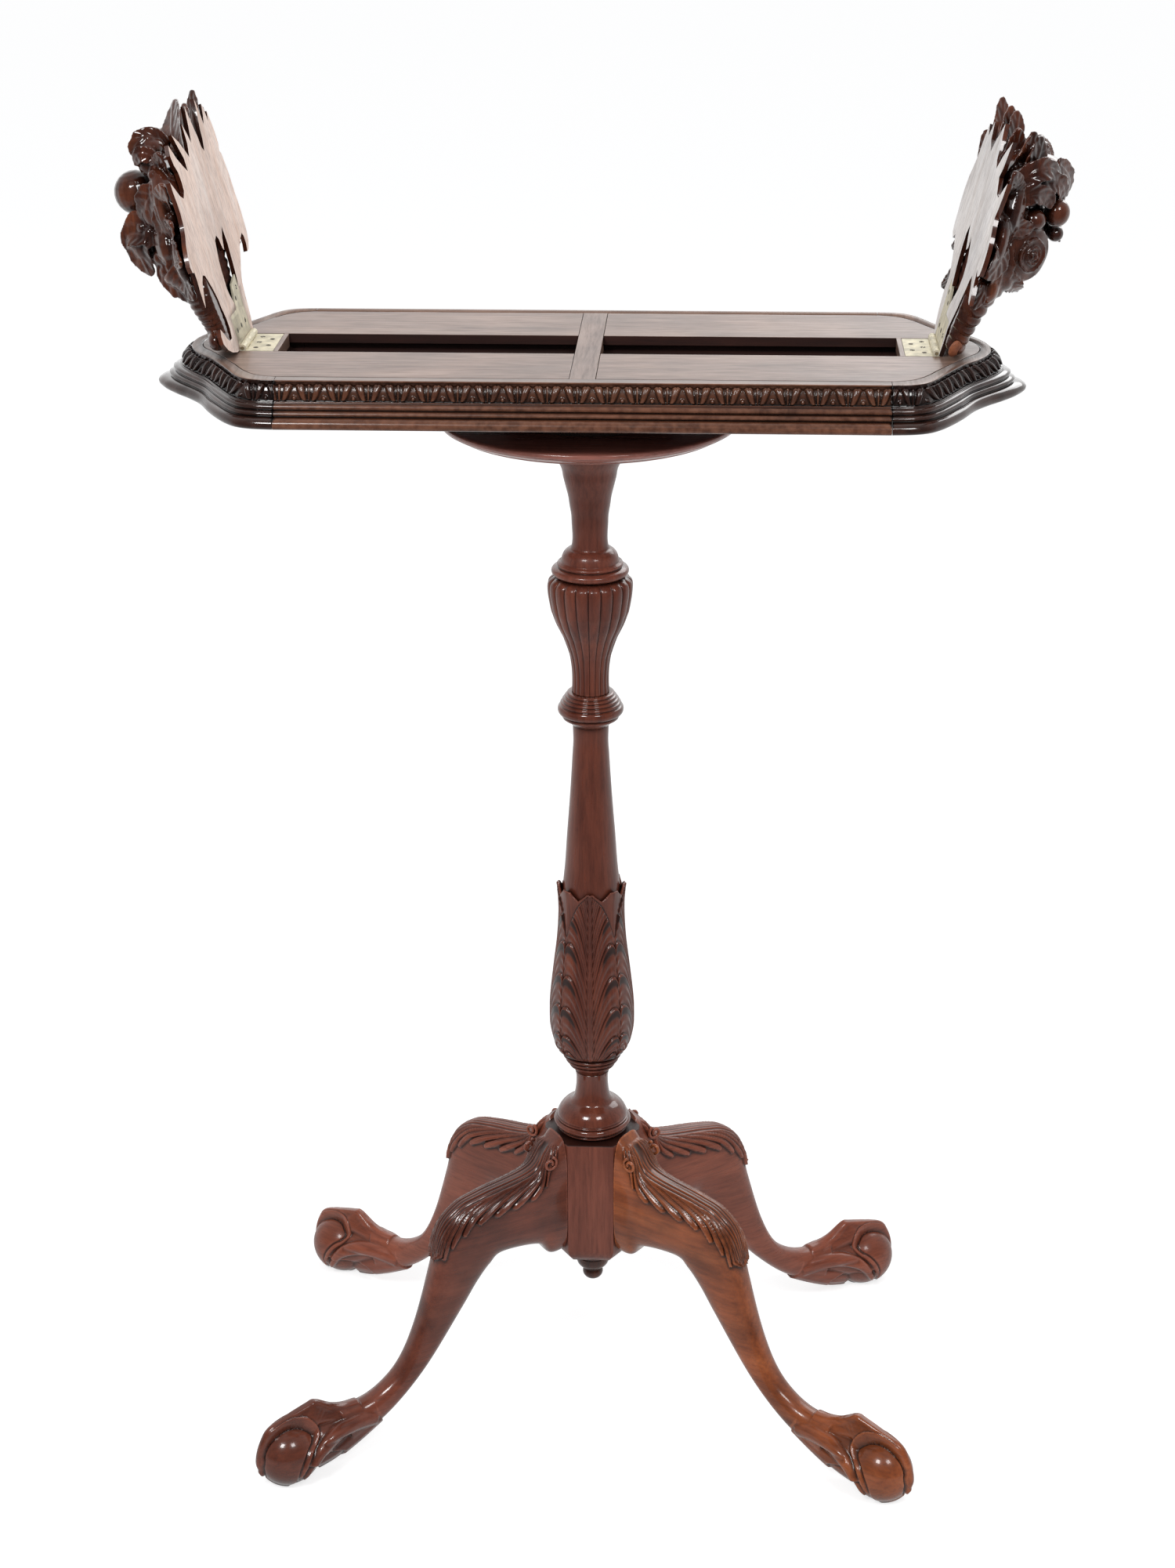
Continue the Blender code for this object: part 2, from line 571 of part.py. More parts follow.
def build_legs():
    """One cabriole leg with its claw-and-ball foot, made along +X, then turned into four places."""
    rows = [(*upper, *lower, width, square) for upper, lower, width, square in leg_shares]
    rings = []
    for upper_x, upper_z, lower_x, lower_z, width, square in smooth_rows(rows, 2):
        upper = Vector((upper_x * LEG_REACH, upper_z * KNEE_HEIGHT))
        lower = Vector((lower_x * LEG_REACH, lower_z * KNEE_HEIGHT))
        rings.append(leg_ring(upper, lower, width * LEG_WIDTH, square))
    rings[0] = [(LEG_SEAT + CLEAR, across, height) for _, across, height in rings[0]]
    shaft = loft("leg_form", rings, smooth_angle=math.radians(60))
    middle = (LEG_REACH, 0, BALL_RADIUS - BALL_FLAT)
    combine(shaft, ball("foot_ball", middle, (BALL_RADIUS,) * 3, 12, 6), "UNION")
    combine(shaft, talon("front_talon", front_talon_shares), "UNION")
    for name, sign in (("left_talon", 1), ("right_talon", -1)):
        shares = [(reach, sign * side, height, radius) for reach, side, height, radius in side_talon_shares]
        combine(shaft, talon(name, shares), "UNION")
    combine(shaft, talon("rear_talon", rear_talon_shares), "UNION")
    span = BALL_RADIUS * 2
    floor = box("floor_cutter", (LEG_REACH - span, -span, -span), (LEG_REACH + span, span, 0))
    combine(shaft, floor, "DIFFERENCE")
    mesh = applied(shaft, "leg")
    angles = {
        "leg_rear_right": LEG_ANGLE,
        "leg_rear_left": math.pi - LEG_ANGLE,
        "leg_front_left": math.pi + LEG_ANGLE,
        "leg_front_right": -LEG_ANGLE,
    }
    for name, angle in angles.items():
        leg = place(name, mesh, RED_WOOD)
        leg.rotation_euler = (0, 0, angle)


def build_pillar():
    """The pillar's foot, leaf baluster, ring collar and reeded vase, each with a dowel in the next."""
    foot_top = pillar_foot_low + PILLAR_FOOT_HEIGHT
    socket_radius = DOWEL_RADIUS + CLEAR
    socket_low = foot_top - DOWEL_LENGTH - CLEAR
    tenon_low = pillar_foot_low - PILLAR_TENON_LENGTH + CLEAR
    profile = [(0, socket_low), (socket_radius, socket_low), (socket_radius, foot_top)]
    profile += scaled_profile(pillar_foot_shares, PILLAR_FOOT_RADIUS, pillar_foot_low, PILLAR_FOOT_HEIGHT)
    profile += [(PILLAR_TENON_RADIUS, pillar_foot_low), (PILLAR_TENON_RADIUS, tenon_low), (0, tenon_low)]
    turned("pillar_foot", profile, 16, RED_WOOD)

    baluster_top = baluster_low + BALUSTER_HEIGHT
    dowel_top = vase_low + DOWEL_LENGTH
    dowel_low = baluster_low - DOWEL_LENGTH
    profile = [(0, dowel_top), (DOWEL_RADIUS, dowel_top), (DOWEL_RADIUS, baluster_top)]
    profile += scaled_profile(baluster_shares, BALUSTER_RADIUS, baluster_low, BALUSTER_HEIGHT)
    profile += [(DOWEL_RADIUS, baluster_low), (DOWEL_RADIUS, dowel_low), (0, dowel_low)]
    baluster = turned("leaf_baluster", profile, 16, RED_WOOD)
    combine(baluster, build_sleeve(), "UNION")

    profile = scaled_profile(ring_shares, RING_RADIUS, ring_low, RING_HEIGHT)
    profile += [(socket_radius, ring_low), (socket_radius, ring_low + RING_HEIGHT)]
    turned("ring_collar", profile, 16, DARK_WOOD)

    vase_top = vase_low + VASE_HEIGHT
    tenon_top = disc_top - CLEAR
    bolt_radius = BOLT_RADIUS + CLEAR
    bolt_low = tenon_top - BOLT_GRIP - CLEAR
    profile = [(0, bolt_low), (bolt_radius, bolt_low), (bolt_radius, tenon_top)]
    profile += [(PILLAR_TENON_RADIUS, tenon_top), (PILLAR_TENON_RADIUS, vase_top)]
    profile += scaled_profile(vase_shares, VASE_RADIUS, vase_low, VASE_HEIGHT)
    profile += [(socket_radius, vase_low), (socket_radius, dowel_top + CLEAR), (0, dowel_top + CLEAR)]
    vase = turned("reeded_vase", profile, 16, RED_WOOD)
    combine(vase, build_reeds(), "UNION")


def build_sleeve():
    """Acanthus leaves round the baluster: four broad ones, with the tips of four narrow ones between."""
    facets = 8
    count = facets * SLEEVE_LEAVES
    low = baluster_low + SLEEVE_START
    rings = []
    for across, up in sleeve_shares:
        ring = []
        for i in range(count):
            leaf = abs((i / facets + 0.5) % 1 - 0.5) * 2
            valley = max(0, 1 - abs(leaf - 0.75) / 0.25)
            drop = min(1, leaf / 0.6) if leaf < 0.9 else 0.35
            radius = across * BALUSTER_RADIUS * (1 - 0.07 * valley * min(1, up * 5))
            height = up * SLEEVE_HEIGHT - drop * SLEEVE_TIP_DROP * up**3
            angle = 2 * math.pi * i / count
            ring.append((radius * math.cos(angle), radius * math.sin(angle), low + height))
        rings.append(ring)
    core = [(x / 2, y / 2, z - SLEEVE_TIP_DROP / 2) for x, y, z in rings[-1]]
    return loft("sleeve_leaves", rings + [core])


def build_reeds():
    """The vase's bowl, with upright convex reeds that meet in grooves."""
    low = vase_low + REED_START
    count = 3 * REEDS
    rings = []
    for across, up in reed_shares:
        ring = []
        for i in range(count):
            angle = 2 * math.pi * i / count
            groove = 1 - abs(math.sin(REEDS * angle / 2))
            radius = across * VASE_RADIUS * (1 - REED_DEPTH_SHARE * groove)
            ring.append((radius * math.cos(angle), radius * math.sin(angle), low + up * REED_HEIGHT))
        rings.append(ring)
    return loft("vase_reeds", rings)


def build_table():
    """The round table that the top turns on, with the bolt, washer and nut."""
    bore = PILLAR_TENON_RADIUS + CLEAR
    profile = [(bore, disc_top)] + scaled_profile(disc_shares, DISC_RADIUS, disc_low, DISC_THICKNESS)
    profile += [(bore, disc_low)]
    turned("turntable_disc", profile, 32, RED_WOOD)

    washer_low = under_board_top - NUT_WELL_DEPTH + CLEAR
    washer_top = washer_low + WASHER_THICKNESS
    nut_low = washer_top + CLEAR
    bolt_low = disc_top - CLEAR - BOLT_GRIP
    bore = BOLT_RADIUS + CLEAR
    nut_top = nut_low + NUT_HEIGHT
    cylinder("pivot_bolt", BOLT_RADIUS, (0, 0, bolt_low), (0, 0, nut_top), STEEL, sides=16)
    low, high = (0, 0, washer_low), (0, 0, washer_top)
    washer = cylinder("pivot_washer", WASHER_RADIUS, low, high, STEEL, sides=16)
    nut = cylinder("pivot_nut", NUT_RADIUS, (0, 0, nut_low), (0, 0, nut_top), STEEL, sides=6)
    hole = cylinder("bolt_bore", bore, (0, 0, washer_low - OVERRUN), (0, 0, nut_top + OVERRUN), sides=16)
    combine(washer, hole, "DIFFERENCE")
    combine(nut, hole, "DIFFERENCE")


def quarter(shares, nose_x, half_depth, inset=0):
    """A quarter of a plan curve, from the seam to the nose."""
    reach = nose_x - SEAM_X - inset
    return [(SEAM_X + across * reach, up * (half_depth - inset)) for across, up in shares]


def half_plan(shares, nose_x, half_depth, side, inset=0):
    """The plan curve of one end, from the front seam round the nose to the rear seam."""
    rear = quarter(shares, nose_x, half_depth, inset)
    points = [(x, -y) for x, y in rear] + rear[-2::-1]
    return [(side * x, y) for x, y in points]


def build_top_boards(top):
    edge = INNER_HALF_DEPTH - CLEAR
    seam = SEAM_X - CLEAR
    band = BAND_HALF_WIDTH
    box("centre_band", (-band, -edge, runner_low), (band, edge, top_level), GREY_WOOD, top)
    for side, side_name in ((-1, "left"), (1, "right")):
        inner, outer = sorted((side * (band + CLEAR), side * seam))
        for row, row_name in ((-1, "front"), (1, "rear")):
            low, high = sorted((row * SLOT_HALF_WIDTH, row * edge))
            name = side_name + "_" + row_name
            box(name + "_panel", (inner, low, panel_low), (outer, high, top_level), GREY_WOOD, top)
            shoulder = SLOT_HALF_WIDTH + GROOVE_DEPTH
            outline = [
                (SLOT_HALF_WIDTH, runner_low), (edge, runner_low), (edge, runner_top),
                (shoulder, runner_top), (shoulder, groove_floor), (SLOT_HALF_WIDTH, groove_floor),
            ]
            outline = [(row * y, z) for y, z in outline]
            outline_solid(name + "_runner", outline, inner, outer, "YZ", INNER_WOOD, top)

    left_end = half_plan(inner_plan_shares, INNER_NOSE_X, INNER_HALF_DEPTH, -1, PLAN_CLEAR)
    right_end = half_plan(inner_plan_shares, INNER_NOSE_X, INNER_HALF_DEPTH, 1, PLAN_CLEAR)
    outline = right_end + left_end[::-1]
    under = outline_solid("under_board", outline, under_board_low, under_board_top, "XY", INNER_WOOD, top)
    bore = BOLT_RADIUS + 2 * CLEAR
    bolt_hole = cylinder("bolt_hole", bore, (0, 0, disc_top), (0, 0, top_level), sides=16)
    well_floor = under_board_top - NUT_WELL_DEPTH
    well = cylinder("nut_well", NUT_WELL_RADIUS, (0, 0, well_floor), (0, 0, top_level))
    combine(under, bolt_hole, "DIFFERENCE")
    combine(under, well, "DIFFERENCE")
    bearing = cylinder(
        "bearing_block", BEARING_RADIUS, (0, 0, bearing_low), (0, 0, bearing_low + BEARING_HEIGHT),
        DARK_WOOD, top, sides=36,
    )
    combine(bearing, bolt_hole, "DIFFERENCE")


def build_end(side, side_name, top):
    """The end block and end clamp, cut for the slot and for the tongues of the slide."""
    outline = half_plan(inner_plan_shares, INNER_NOSE_X, INNER_HALF_DEPTH, side, PLAN_CLEAR)
    block = outline_solid(side_name + "_end_block", outline, runner_low, runner_top, "XY", INNER_WOOD, top)
    clamp = outline_solid(side_name + "_end_clamp", outline, panel_low, top_level, "XY", GREY_WOOD, top)
    near, far = sorted((side * (SEAM_X - OVERRUN), side * SLOT_END_X))
    low, high = runner_low - OVERRUN, top_level + OVERRUN
    slot = box(side_name + "_slot_cutter", (near, -SLOT_HALF_WIDTH, low), (far, SLOT_HALF_WIDTH, high))
    shoulder = SLOT_HALF_WIDTH + GROOVE_DEPTH
    groove = box(side_name + "_groove_cutter", (near, -shoulder, groove_floor), (far, shoulder, high))
    combine(block, slot, "DIFFERENCE")
    combine(block, groove, "DIFFERENCE")
    combine(clamp, slot, "DIFFERENCE")


def moulding_ring(inner, lip, roll):
    """The moulding's section at one place of the plan, given the three plan curves' points there."""
    low = top_level - MOULDING_HEIGHT
    ring = [(*inner, low), (*inner, top_level)]
    for across, up in moulding_shares:
        x, y = (a + across * (b - a) for a, b in zip(lip, roll))
        ring.append((x, y, low + up * MOULDING_HEIGHT))
    return ring


def build_mouldings(top):
    end = SEAM_X - CLEAR
    for row, name in ((-1, "front_moulding"), (1, "rear_moulding")):
        edges = [row * depth for depth in (INNER_HALF_DEPTH, LIP_HALF_DEPTH, ROLL_HALF_DEPTH)]
        rings = [moulding_ring(*((x, y) for y in edges)) for x in (-end, end)]
        loft(name, rings, RED_WOOD, top)
    for side, name in ((-1, "left_end_moulding"), (1, "right_end_moulding")):
        curves = [
            half_plan(inner_plan_shares, INNER_NOSE_X, INNER_HALF_DEPTH, side),
            half_plan(lip_plan_shares, LIP_NOSE_X, LIP_HALF_DEPTH, side),
            half_plan(roll_plan_shares, ROLL_NOSE_X, ROLL_HALF_DEPTH, side),
        ]
        loft(name, [moulding_ring(*points) for points in zip(*curves)], DARK_WOOD, top)


def build_slide(side, side_name, slide):
    """The slide: a T-shaped block with a flush strip at its inner end."""
    inner, outer = sorted((side * slide_inner_x, side * slide_outer_x))
    body = SLOT_HALF_WIDTH - CLEAR
    tongue = SLOT_HALF_WIDTH + GROOVE_DEPTH - CLEAR
    low = under_board_top + SLIDE_CLEAR
    tongue_low = groove_floor + CLEAR
    tongue_top = panel_low - 2 * CLEAR
    block = box(
        side_name + "_slide_block", (inner, -body, low), (outer, body, slide_top), INNER_WOOD, slide
    )
    tongues = box(
        side_name + "_tongues", (inner + CLEAR, -tongue, tongue_low), (outer - CLEAR, tongue, tongue_top),
        None, slide,
    )
    combine(block, tongues, "UNION")
    rebate_x = slide_inner_x + STRIP_WIDTH + CLEAR
    near, far = sorted((side * (slide_inner_x - OVERRUN), side * rebate_x))
    floor = top_level - STRIP_DEPTH - CLEAR
    wide = tongue + OVERRUN
    rebate = box(side_name + "_strip_rebate", (near, -wide, floor), (far, wide, top_level + OVERRUN))
    rebate.parent = slide
    combine(block, rebate, "DIFFERENCE")
    near, far = sorted((side * slide_inner_x, side * (slide_inner_x + STRIP_WIDTH)))
    strip_low = top_level - STRIP_DEPTH
    box(side_name + "_slide_strip", (near, -body, strip_low), (far, body, top_level), GREY_WOOD, slide)


def knuckle_spans(first, step):
    """The knuckles from the first on, as pairs of Y, counted along the hinge with a gap between them."""
    pitch = (LEAF_WIDTH + CLEAR) / KNUCKLES
    start = -LEAF_WIDTH / 2
    return [(start + i * pitch, start + (i + 1) * pitch - CLEAR) for i in range(first, KNUCKLES, step)]


def hinge_leaf(name, plate, own_first, axis, parent):
    """A leaf: a plate, cleared round the other leaf's knuckles, joined to its own, bored for the pin."""
    x, z = axis
    for low, high in knuckle_spans(1 - own_first, 2):
        room = cylinder(
            name + "_room", KNUCKLE_RADIUS + CLEAR, (x, low - CLEAR, z), (x, high + CLEAR, z),
            None, parent, 10, True,
        )
        combine(plate, room, "DIFFERENCE")
    for low, high in knuckle_spans(own_first, 2):
        knuckle = cylinder(
            name + "_knuckle", KNUCKLE_RADIUS, (x, low, z), (x, high, z), None, parent, 10, True
        )
        combine(plate, knuckle, "UNION")
    half = LEAF_WIDTH / 2 + OVERRUN
    bore = cylinder(name + "_bore", PIN_RADIUS + CLEAR, (x, -half, z), (x, half, z), None, parent, 8, True)
    combine(plate, bore, "DIFFERENCE")


def build_hinge(side, side_name, slide, bookend):
    half = LEAF_WIDTH / 2
    near, far = sorted((side * (hinge_x - FIXED_LEAF_REACH), side * hinge_x))
    leaf_low = top_level - LEAF_THICKNESS
    fixed = box(side_name + "_fixed_leaf", (near, -half, leaf_low), (far, half, top_level), BRASS, slide)
    hinge_leaf(side_name + "_fixed", fixed, 0, (side * hinge_x, hinge_z), slide)
    x = side * hinge_x
    low, high = (x, -half, hinge_z), (x, half, hinge_z)
    cylinder(side_name + "_hinge_pin", PIN_RADIUS, low, high, BRASS, slide, 8, True)
    low, high = sorted((side * face_out, side * KNUCKLE_RADIUS))
    outline = moving_leaf_outline(0)
    moving = outline_solid(side_name + "_moving_leaf", outline, low, high, "YZ", BRASS, bookend)
    hinge_leaf(side_name + "_moving", moving, 1, (0, 0), bookend)


def moving_leaf_outline(room):
    """The leaf on the bookend, taller towards the rear, with room all round it."""
    half = LEAF_WIDTH / 2
    return [
        (across * half + room * way, up * MOVING_LEAF_REACH + room * rise)
        for across, up, way, rise in moving_leaf_shares
    ]


def out_and_up(out, height):
    """How far up the leaning board a point lies that is this far out of it and this high in the world."""
    return (height - hinge_z + out * math.sin(LEAN)) / math.cos(LEAN)


def board_outline(shares, low=0):
    rise = BOOKEND_HEIGHT - low
    return [(y * BOOKEND_HALF_DEPTH, low + up * rise) for y, up in shares]


def carved_point(side, shares):
    """A point of the carving in the board's frame, from its shares of depth, height and thickness."""
    y, up, out = shares
    return (side * (face_out + out * CARVING_DEPTH), y * BOOKEND_HALF_DEPTH, up * BOOKEND_HEIGHT)


def build_bookend(side, side_name, bookend):
    """A bookend: a flat pierced back, two horns that run down to the foot, and heaped fruit and flowers."""
    board_out = face_out + BOARD_THICKNESS
    bottom = out_and_up(board_out, top_level + CLEAR)
    low, high = sorted((side * face_out, side * board_out))
    outline = board_outline(board_shares[side_name], bottom)
    board = outline_solid(side_name + "_bookend_carving", outline, low, high, "YZ", DARK_WOOD, bookend)
    cut_low, cut_high = sorted((side * (face_out - OVERRUN), side * (board_out + OVERRUN)))
    opening = board_outline(slit_shares[side_name])
    slit = outline_solid(side_name + "_slit", opening, cut_low, cut_high, "YZ", None, bookend)
    combine(board, slit, "DIFFERENCE")
    for i, (centre, radii) in enumerate(fruit_shares):
        size = (radii[2] * CARVING_DEPTH, radii[0] * BOOKEND_HALF_DEPTH, radii[1] * BOOKEND_HEIGHT)
        fruit = ball(f"{side_name}_fruit_{i}", carved_point(side, centre), size, 8, 5, bookend)
        combine(board, fruit, "UNION")
    for name, shares in (("_front_horn", front_horn_shares), ("_middle_horn", middle_horn_shares)):
        points = [carved_point(side, share[:3]) for share in shares]
        horn = tapered_tube(side_name + name, points, [share[3] * STUB_RADIUS for share in shares], bookend)
        combine(board, horn, "UNION")
    stub_out = face_out + CLEAR + STUB_RADIUS
    stub_up = out_and_up(stub_out, top_level + CLEAR + STUB_RADIUS)
    near = (side * stub_out, -STUB_REACH, stub_up)
    far = (side * stub_out, STUB_LENGTH - STUB_REACH, stub_up)
    stub = cylinder(side_name + "_stub", STUB_RADIUS, near, far, None, bookend, 12, True)
    combine(board, stub, "UNION")
    leaf_low, leaf_high = sorted((side * (face_out - OVERRUN), side * (KNUCKLE_RADIUS + CLEAR)))
    room = moving_leaf_outline(CLEAR)
    room = [(y, up - OVERRUN) if up < 0 else (y, up) for y, up in room]
    recess = outline_solid(side_name + "_leaf_recess", room, leaf_low, leaf_high, "YZ", None, bookend)
    combine(board, recess, "DIFFERENCE")


def build_stand():
    build_block()
    build_finial()
    build_legs()
    build_pillar()
    build_table()
    top = empty("top_pivot")
    build_top_boards(top)
    build_mouldings(top)
    for side, name in ((-1, "left"), (1, "right")):
        build_end(side, name, top)
        slide = empty(name + "_slide", parent=top)
        build_slide(side, name, slide)
        bookend = empty(name + "_hinge_axis", (side * hinge_x, 0, hinge_z), slide, side * LEAN)
        build_hinge(side, name, slide, bookend)
        build_bookend(side, name, bookend)


build_stand()
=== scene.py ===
"""Looks for the carved book stand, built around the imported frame."""
import math

import bmesh
import bpy
import numpy as np
from mathutils import Matrix, Vector


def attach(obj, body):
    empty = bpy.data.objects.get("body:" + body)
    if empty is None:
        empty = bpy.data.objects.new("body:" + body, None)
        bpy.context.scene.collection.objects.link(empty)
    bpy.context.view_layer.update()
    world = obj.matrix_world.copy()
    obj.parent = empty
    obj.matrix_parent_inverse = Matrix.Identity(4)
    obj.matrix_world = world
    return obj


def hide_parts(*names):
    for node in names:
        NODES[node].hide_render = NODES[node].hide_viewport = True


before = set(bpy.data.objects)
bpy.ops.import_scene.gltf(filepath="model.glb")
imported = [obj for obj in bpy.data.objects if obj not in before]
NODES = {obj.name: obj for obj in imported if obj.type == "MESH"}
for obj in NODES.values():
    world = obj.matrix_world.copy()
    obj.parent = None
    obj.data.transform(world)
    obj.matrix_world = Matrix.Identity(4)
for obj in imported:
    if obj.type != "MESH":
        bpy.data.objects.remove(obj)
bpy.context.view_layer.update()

scene = bpy.context.scene


# Node helpers

def new_tree(name):
    material = bpy.data.materials.new(name)
    material.use_nodes = True
    return material, material.node_tree.nodes, material.node_tree.links


def ramp_node(nodes, stops):
    ramp = nodes.new("ShaderNodeValToRGB")
    elements = ramp.color_ramp.elements
    while len(elements) < len(stops):
        elements.new(0.5)
    for element, (at, colour) in zip(elements, stops):
        element.position = at
        element.color = (*colour, 1)
    return ramp


def mixed(nodes, links, kind, factor, first, second):
    """A colour mix; factor, first and second are sockets or values."""
    node = nodes.new("ShaderNodeMix")
    node.data_type = "RGBA"
    node.blend_type = kind
    for socket, value in ((node.inputs[0], factor), (node.inputs[6], first), (node.inputs[7], second)):
        if isinstance(value, bpy.types.NodeSocket):
            links.new(value, socket)
        elif isinstance(value, tuple):
            socket.default_value = (*value, 1)
        else:
            socket.default_value = value
    return node.outputs[2]


def noise_node(nodes, links, vector, scale, detail, stretch=None, rough=0.55):
    if stretch is not None:
        mapping = nodes.new("ShaderNodeMapping")
        mapping.inputs["Scale"].default_value = stretch
        links.new(vector, mapping.inputs["Vector"])
        vector = mapping.outputs[0]
    noise = nodes.new("ShaderNodeTexNoise")
    noise.inputs["Scale"].default_value = scale
    noise.inputs["Detail"].default_value = detail
    noise.inputs["Roughness"].default_value = rough
    links.new(vector, noise.inputs["Vector"])
    return noise.outputs["Fac"]


def ranged(nodes, links, value, low, high, to_low, to_high):
    node = nodes.new("ShaderNodeMapRange")
    for key, number in (("From Min", low), ("From Max", high), ("To Min", to_low), ("To Max", to_high)):
        node.inputs[key].default_value = number
    links.new(value, node.inputs["Value"])
    return node.outputs[0]


def by_ray(nodes, links, plain, gloss, seen):
    """One shader as a light, one for what gloss sees, and one for the camera and clear materials."""
    path = nodes.new("ShaderNodeLightPath")
    last = plain.outputs[0]
    for ray, shader in (("Is Glossy Ray", gloss), ("Is Transmission Ray", seen), ("Is Camera Ray", seen)):
        mix = nodes.new("ShaderNodeMixShader")
        links.new(path.outputs[ray], mix.inputs[0])
        links.new(last, mix.inputs[1])
        links.new(shader.outputs[0], mix.inputs[2])
        last = mix.outputs[0]
    return last


# Camera, lamps, floor

# The camera as fitted to the photograph; the roll is in degrees, the focal length and the height in pixels
CAMERA_PLACE = (0.0839, -1.6753, 1.1671)
CAMERA_VIEW = (-0.0474, 0.9210, -0.3866)
CAMERA_ROLL = -0.257
FOCAL_LENGTH, PHOTO_HEIGHT, SENSOR = 3500, 2001, 36
FLOOR_REACH = 30
WHITE = (1, 1, 1, 1)


def placed(name, data):
    made = bpy.data.objects.new(name, data)
    scene.collection.objects.link(made)
    return made


def make_camera():
    forward = Vector(CAMERA_VIEW).normalized()
    right = forward.cross(Vector((0, 0, 1))).normalized()
    above = right.cross(forward)
    roll = math.radians(CAMERA_ROLL)
    side = math.cos(roll) * right + math.sin(roll) * above
    upward = -math.sin(roll) * right + math.cos(roll) * above
    camera = placed("camera", bpy.data.cameras.new("camera"))
    rows = [(side[i], upward[i], -forward[i], CAMERA_PLACE[i]) for i in range(3)]
    camera.matrix_world = Matrix((*rows, (0, 0, 0, 1)))
    camera.data.lens = FOCAL_LENGTH / PHOTO_HEIGHT * SENSOR
    camera.data.sensor_width = SENSOR
    camera.data.clip_end = 100
    scene.camera = camera


def area_lamp(name, position, target, size, power):
    data = bpy.data.lights.new(name, "AREA")
    data.shape = "RECTANGLE"
    data.size, data.size_y = size
    data.energy = power
    lamp = placed(name, data)
    lamp.location = position
    lamp.rotation_mode = "QUATERNION"
    lamp.rotation_quaternion = (Vector(target) - Vector(position)).to_track_quat("-Z", "Y")


def make_world():
    """White where it is seen, and softer as a light; what gloss sees grows darker towards the front."""
    world = bpy.data.worlds.new("studio")
    world.use_nodes = True
    nodes, links = world.node_tree.nodes, world.node_tree.links
    nodes.clear()
    out = nodes.new("ShaderNodeOutputWorld")
    fill, gloss, seen = (nodes.new("ShaderNodeBackground") for _ in range(3))
    fill.inputs["Color"].default_value = (0.97, 0.98, 1.0, 1)
    fill.inputs["Strength"].default_value = 0.54
    seen.inputs["Strength"].default_value = 1
    for shader in (gloss, seen):
        shader.inputs["Color"].default_value = WHITE
    direction = nodes.new("ShaderNodeSeparateXYZ")
    links.new(nodes.new("ShaderNodeTexCoord").outputs["Generated"], direction.inputs[0])
    both = nodes.new("ShaderNodeMath")
    links.new(ranged(nodes, links, direction.outputs["Y"], -0.5, 0.4, 0.12, 0.65), both.inputs[0])
    links.new(ranged(nodes, links, direction.outputs["Y"], 0.6, 0.95, 0, 0.75), both.inputs[1])
    links.new(both.outputs[0], gloss.inputs["Strength"])
    links.new(by_ray(nodes, links, fill, gloss, seen), out.inputs[0])
    scene.world = world


def make_floor():
    """A plain pale floor, white where the camera or gloss sees it, that keeps the object's shadow."""
    mesh = bpy.data.meshes.new("floor")
    corners = [(x * FLOOR_REACH, y * FLOOR_REACH, 0) for x, y in ((-1, -1), (1, -1), (1, 1), (-1, 1))]
    mesh.from_pydata(corners, [], [(0, 1, 2, 3)])
    floor = placed("floor", mesh)
    material, nodes, links = new_tree("pale_floor")
    shader = nodes["Principled BSDF"]
    shader.inputs["Base Color"].default_value = (0.84, 0.84, 0.84, 1)
    shader.inputs["Roughness"].default_value = 0.9
    shader.inputs["Specular IOR Level"].default_value = 0.1
    glow = nodes.new("ShaderNodeEmission")
    glow.inputs["Color"].default_value = (0.74, 0.74, 0.74, 1)
    shaded = nodes.new("ShaderNodeBsdfDiffuse")
    shaded.inputs["Color"].default_value = (0.46, 0.46, 0.46, 1)
    both = nodes.new("ShaderNodeAddShader")
    links.new(glow.outputs[0], both.inputs[0])
    links.new(shaded.outputs[0], both.inputs[1])
    gloss = nodes.new("ShaderNodeEmission")
    place = nodes.new("ShaderNodeSeparateXYZ")
    links.new(nodes.new("ShaderNodeTexCoord").outputs["Object"], place.inputs[0])
    links.new(ranged(nodes, links, place.outputs["Y"], -1.2, 0.3, 0.12, 0.75), gloss.inputs["Strength"])
    links.new(by_ray(nodes, links, shader, gloss, both), nodes["Material Output"].inputs[0])
    mesh.materials.append(material)


make_camera()
make_world()
make_floor()
area_lamp("left_lamp", (-0.80, -1.70, 2.35), (0, 0, 0.45), (0.6, 0.6), 30)
area_lamp("right_lamp", (0.95, -1.55, 2.35), (0, 0, 0.45), (0.6, 0.6), 18)
area_lamp("rear_lamp", (0.9, 1.9, 1.9), (0, 0, 0.6), (1.6, 1.0), 14)
scene.view_settings.view_transform = "Standard"


# Materials

LEG_TURN = 33.5
ALONG_GRAIN, ACROSS_GRAIN = 0.7, 9
STRETCH = {axis: tuple(ALONG_GRAIN if a == axis else ACROSS_GRAIN for a in "XYZ") for axis in "XYZ"}


def set_lift(nodes, links, shader, height, strength, distance):
    lift = nodes.new("ShaderNodeBump")
    lift.inputs["Strength"].default_value = strength
    lift.inputs["Distance"].default_value = distance
    links.new(height, lift.inputs["Height"])
    links.new(lift.outputs[0], shader.inputs["Normal"])


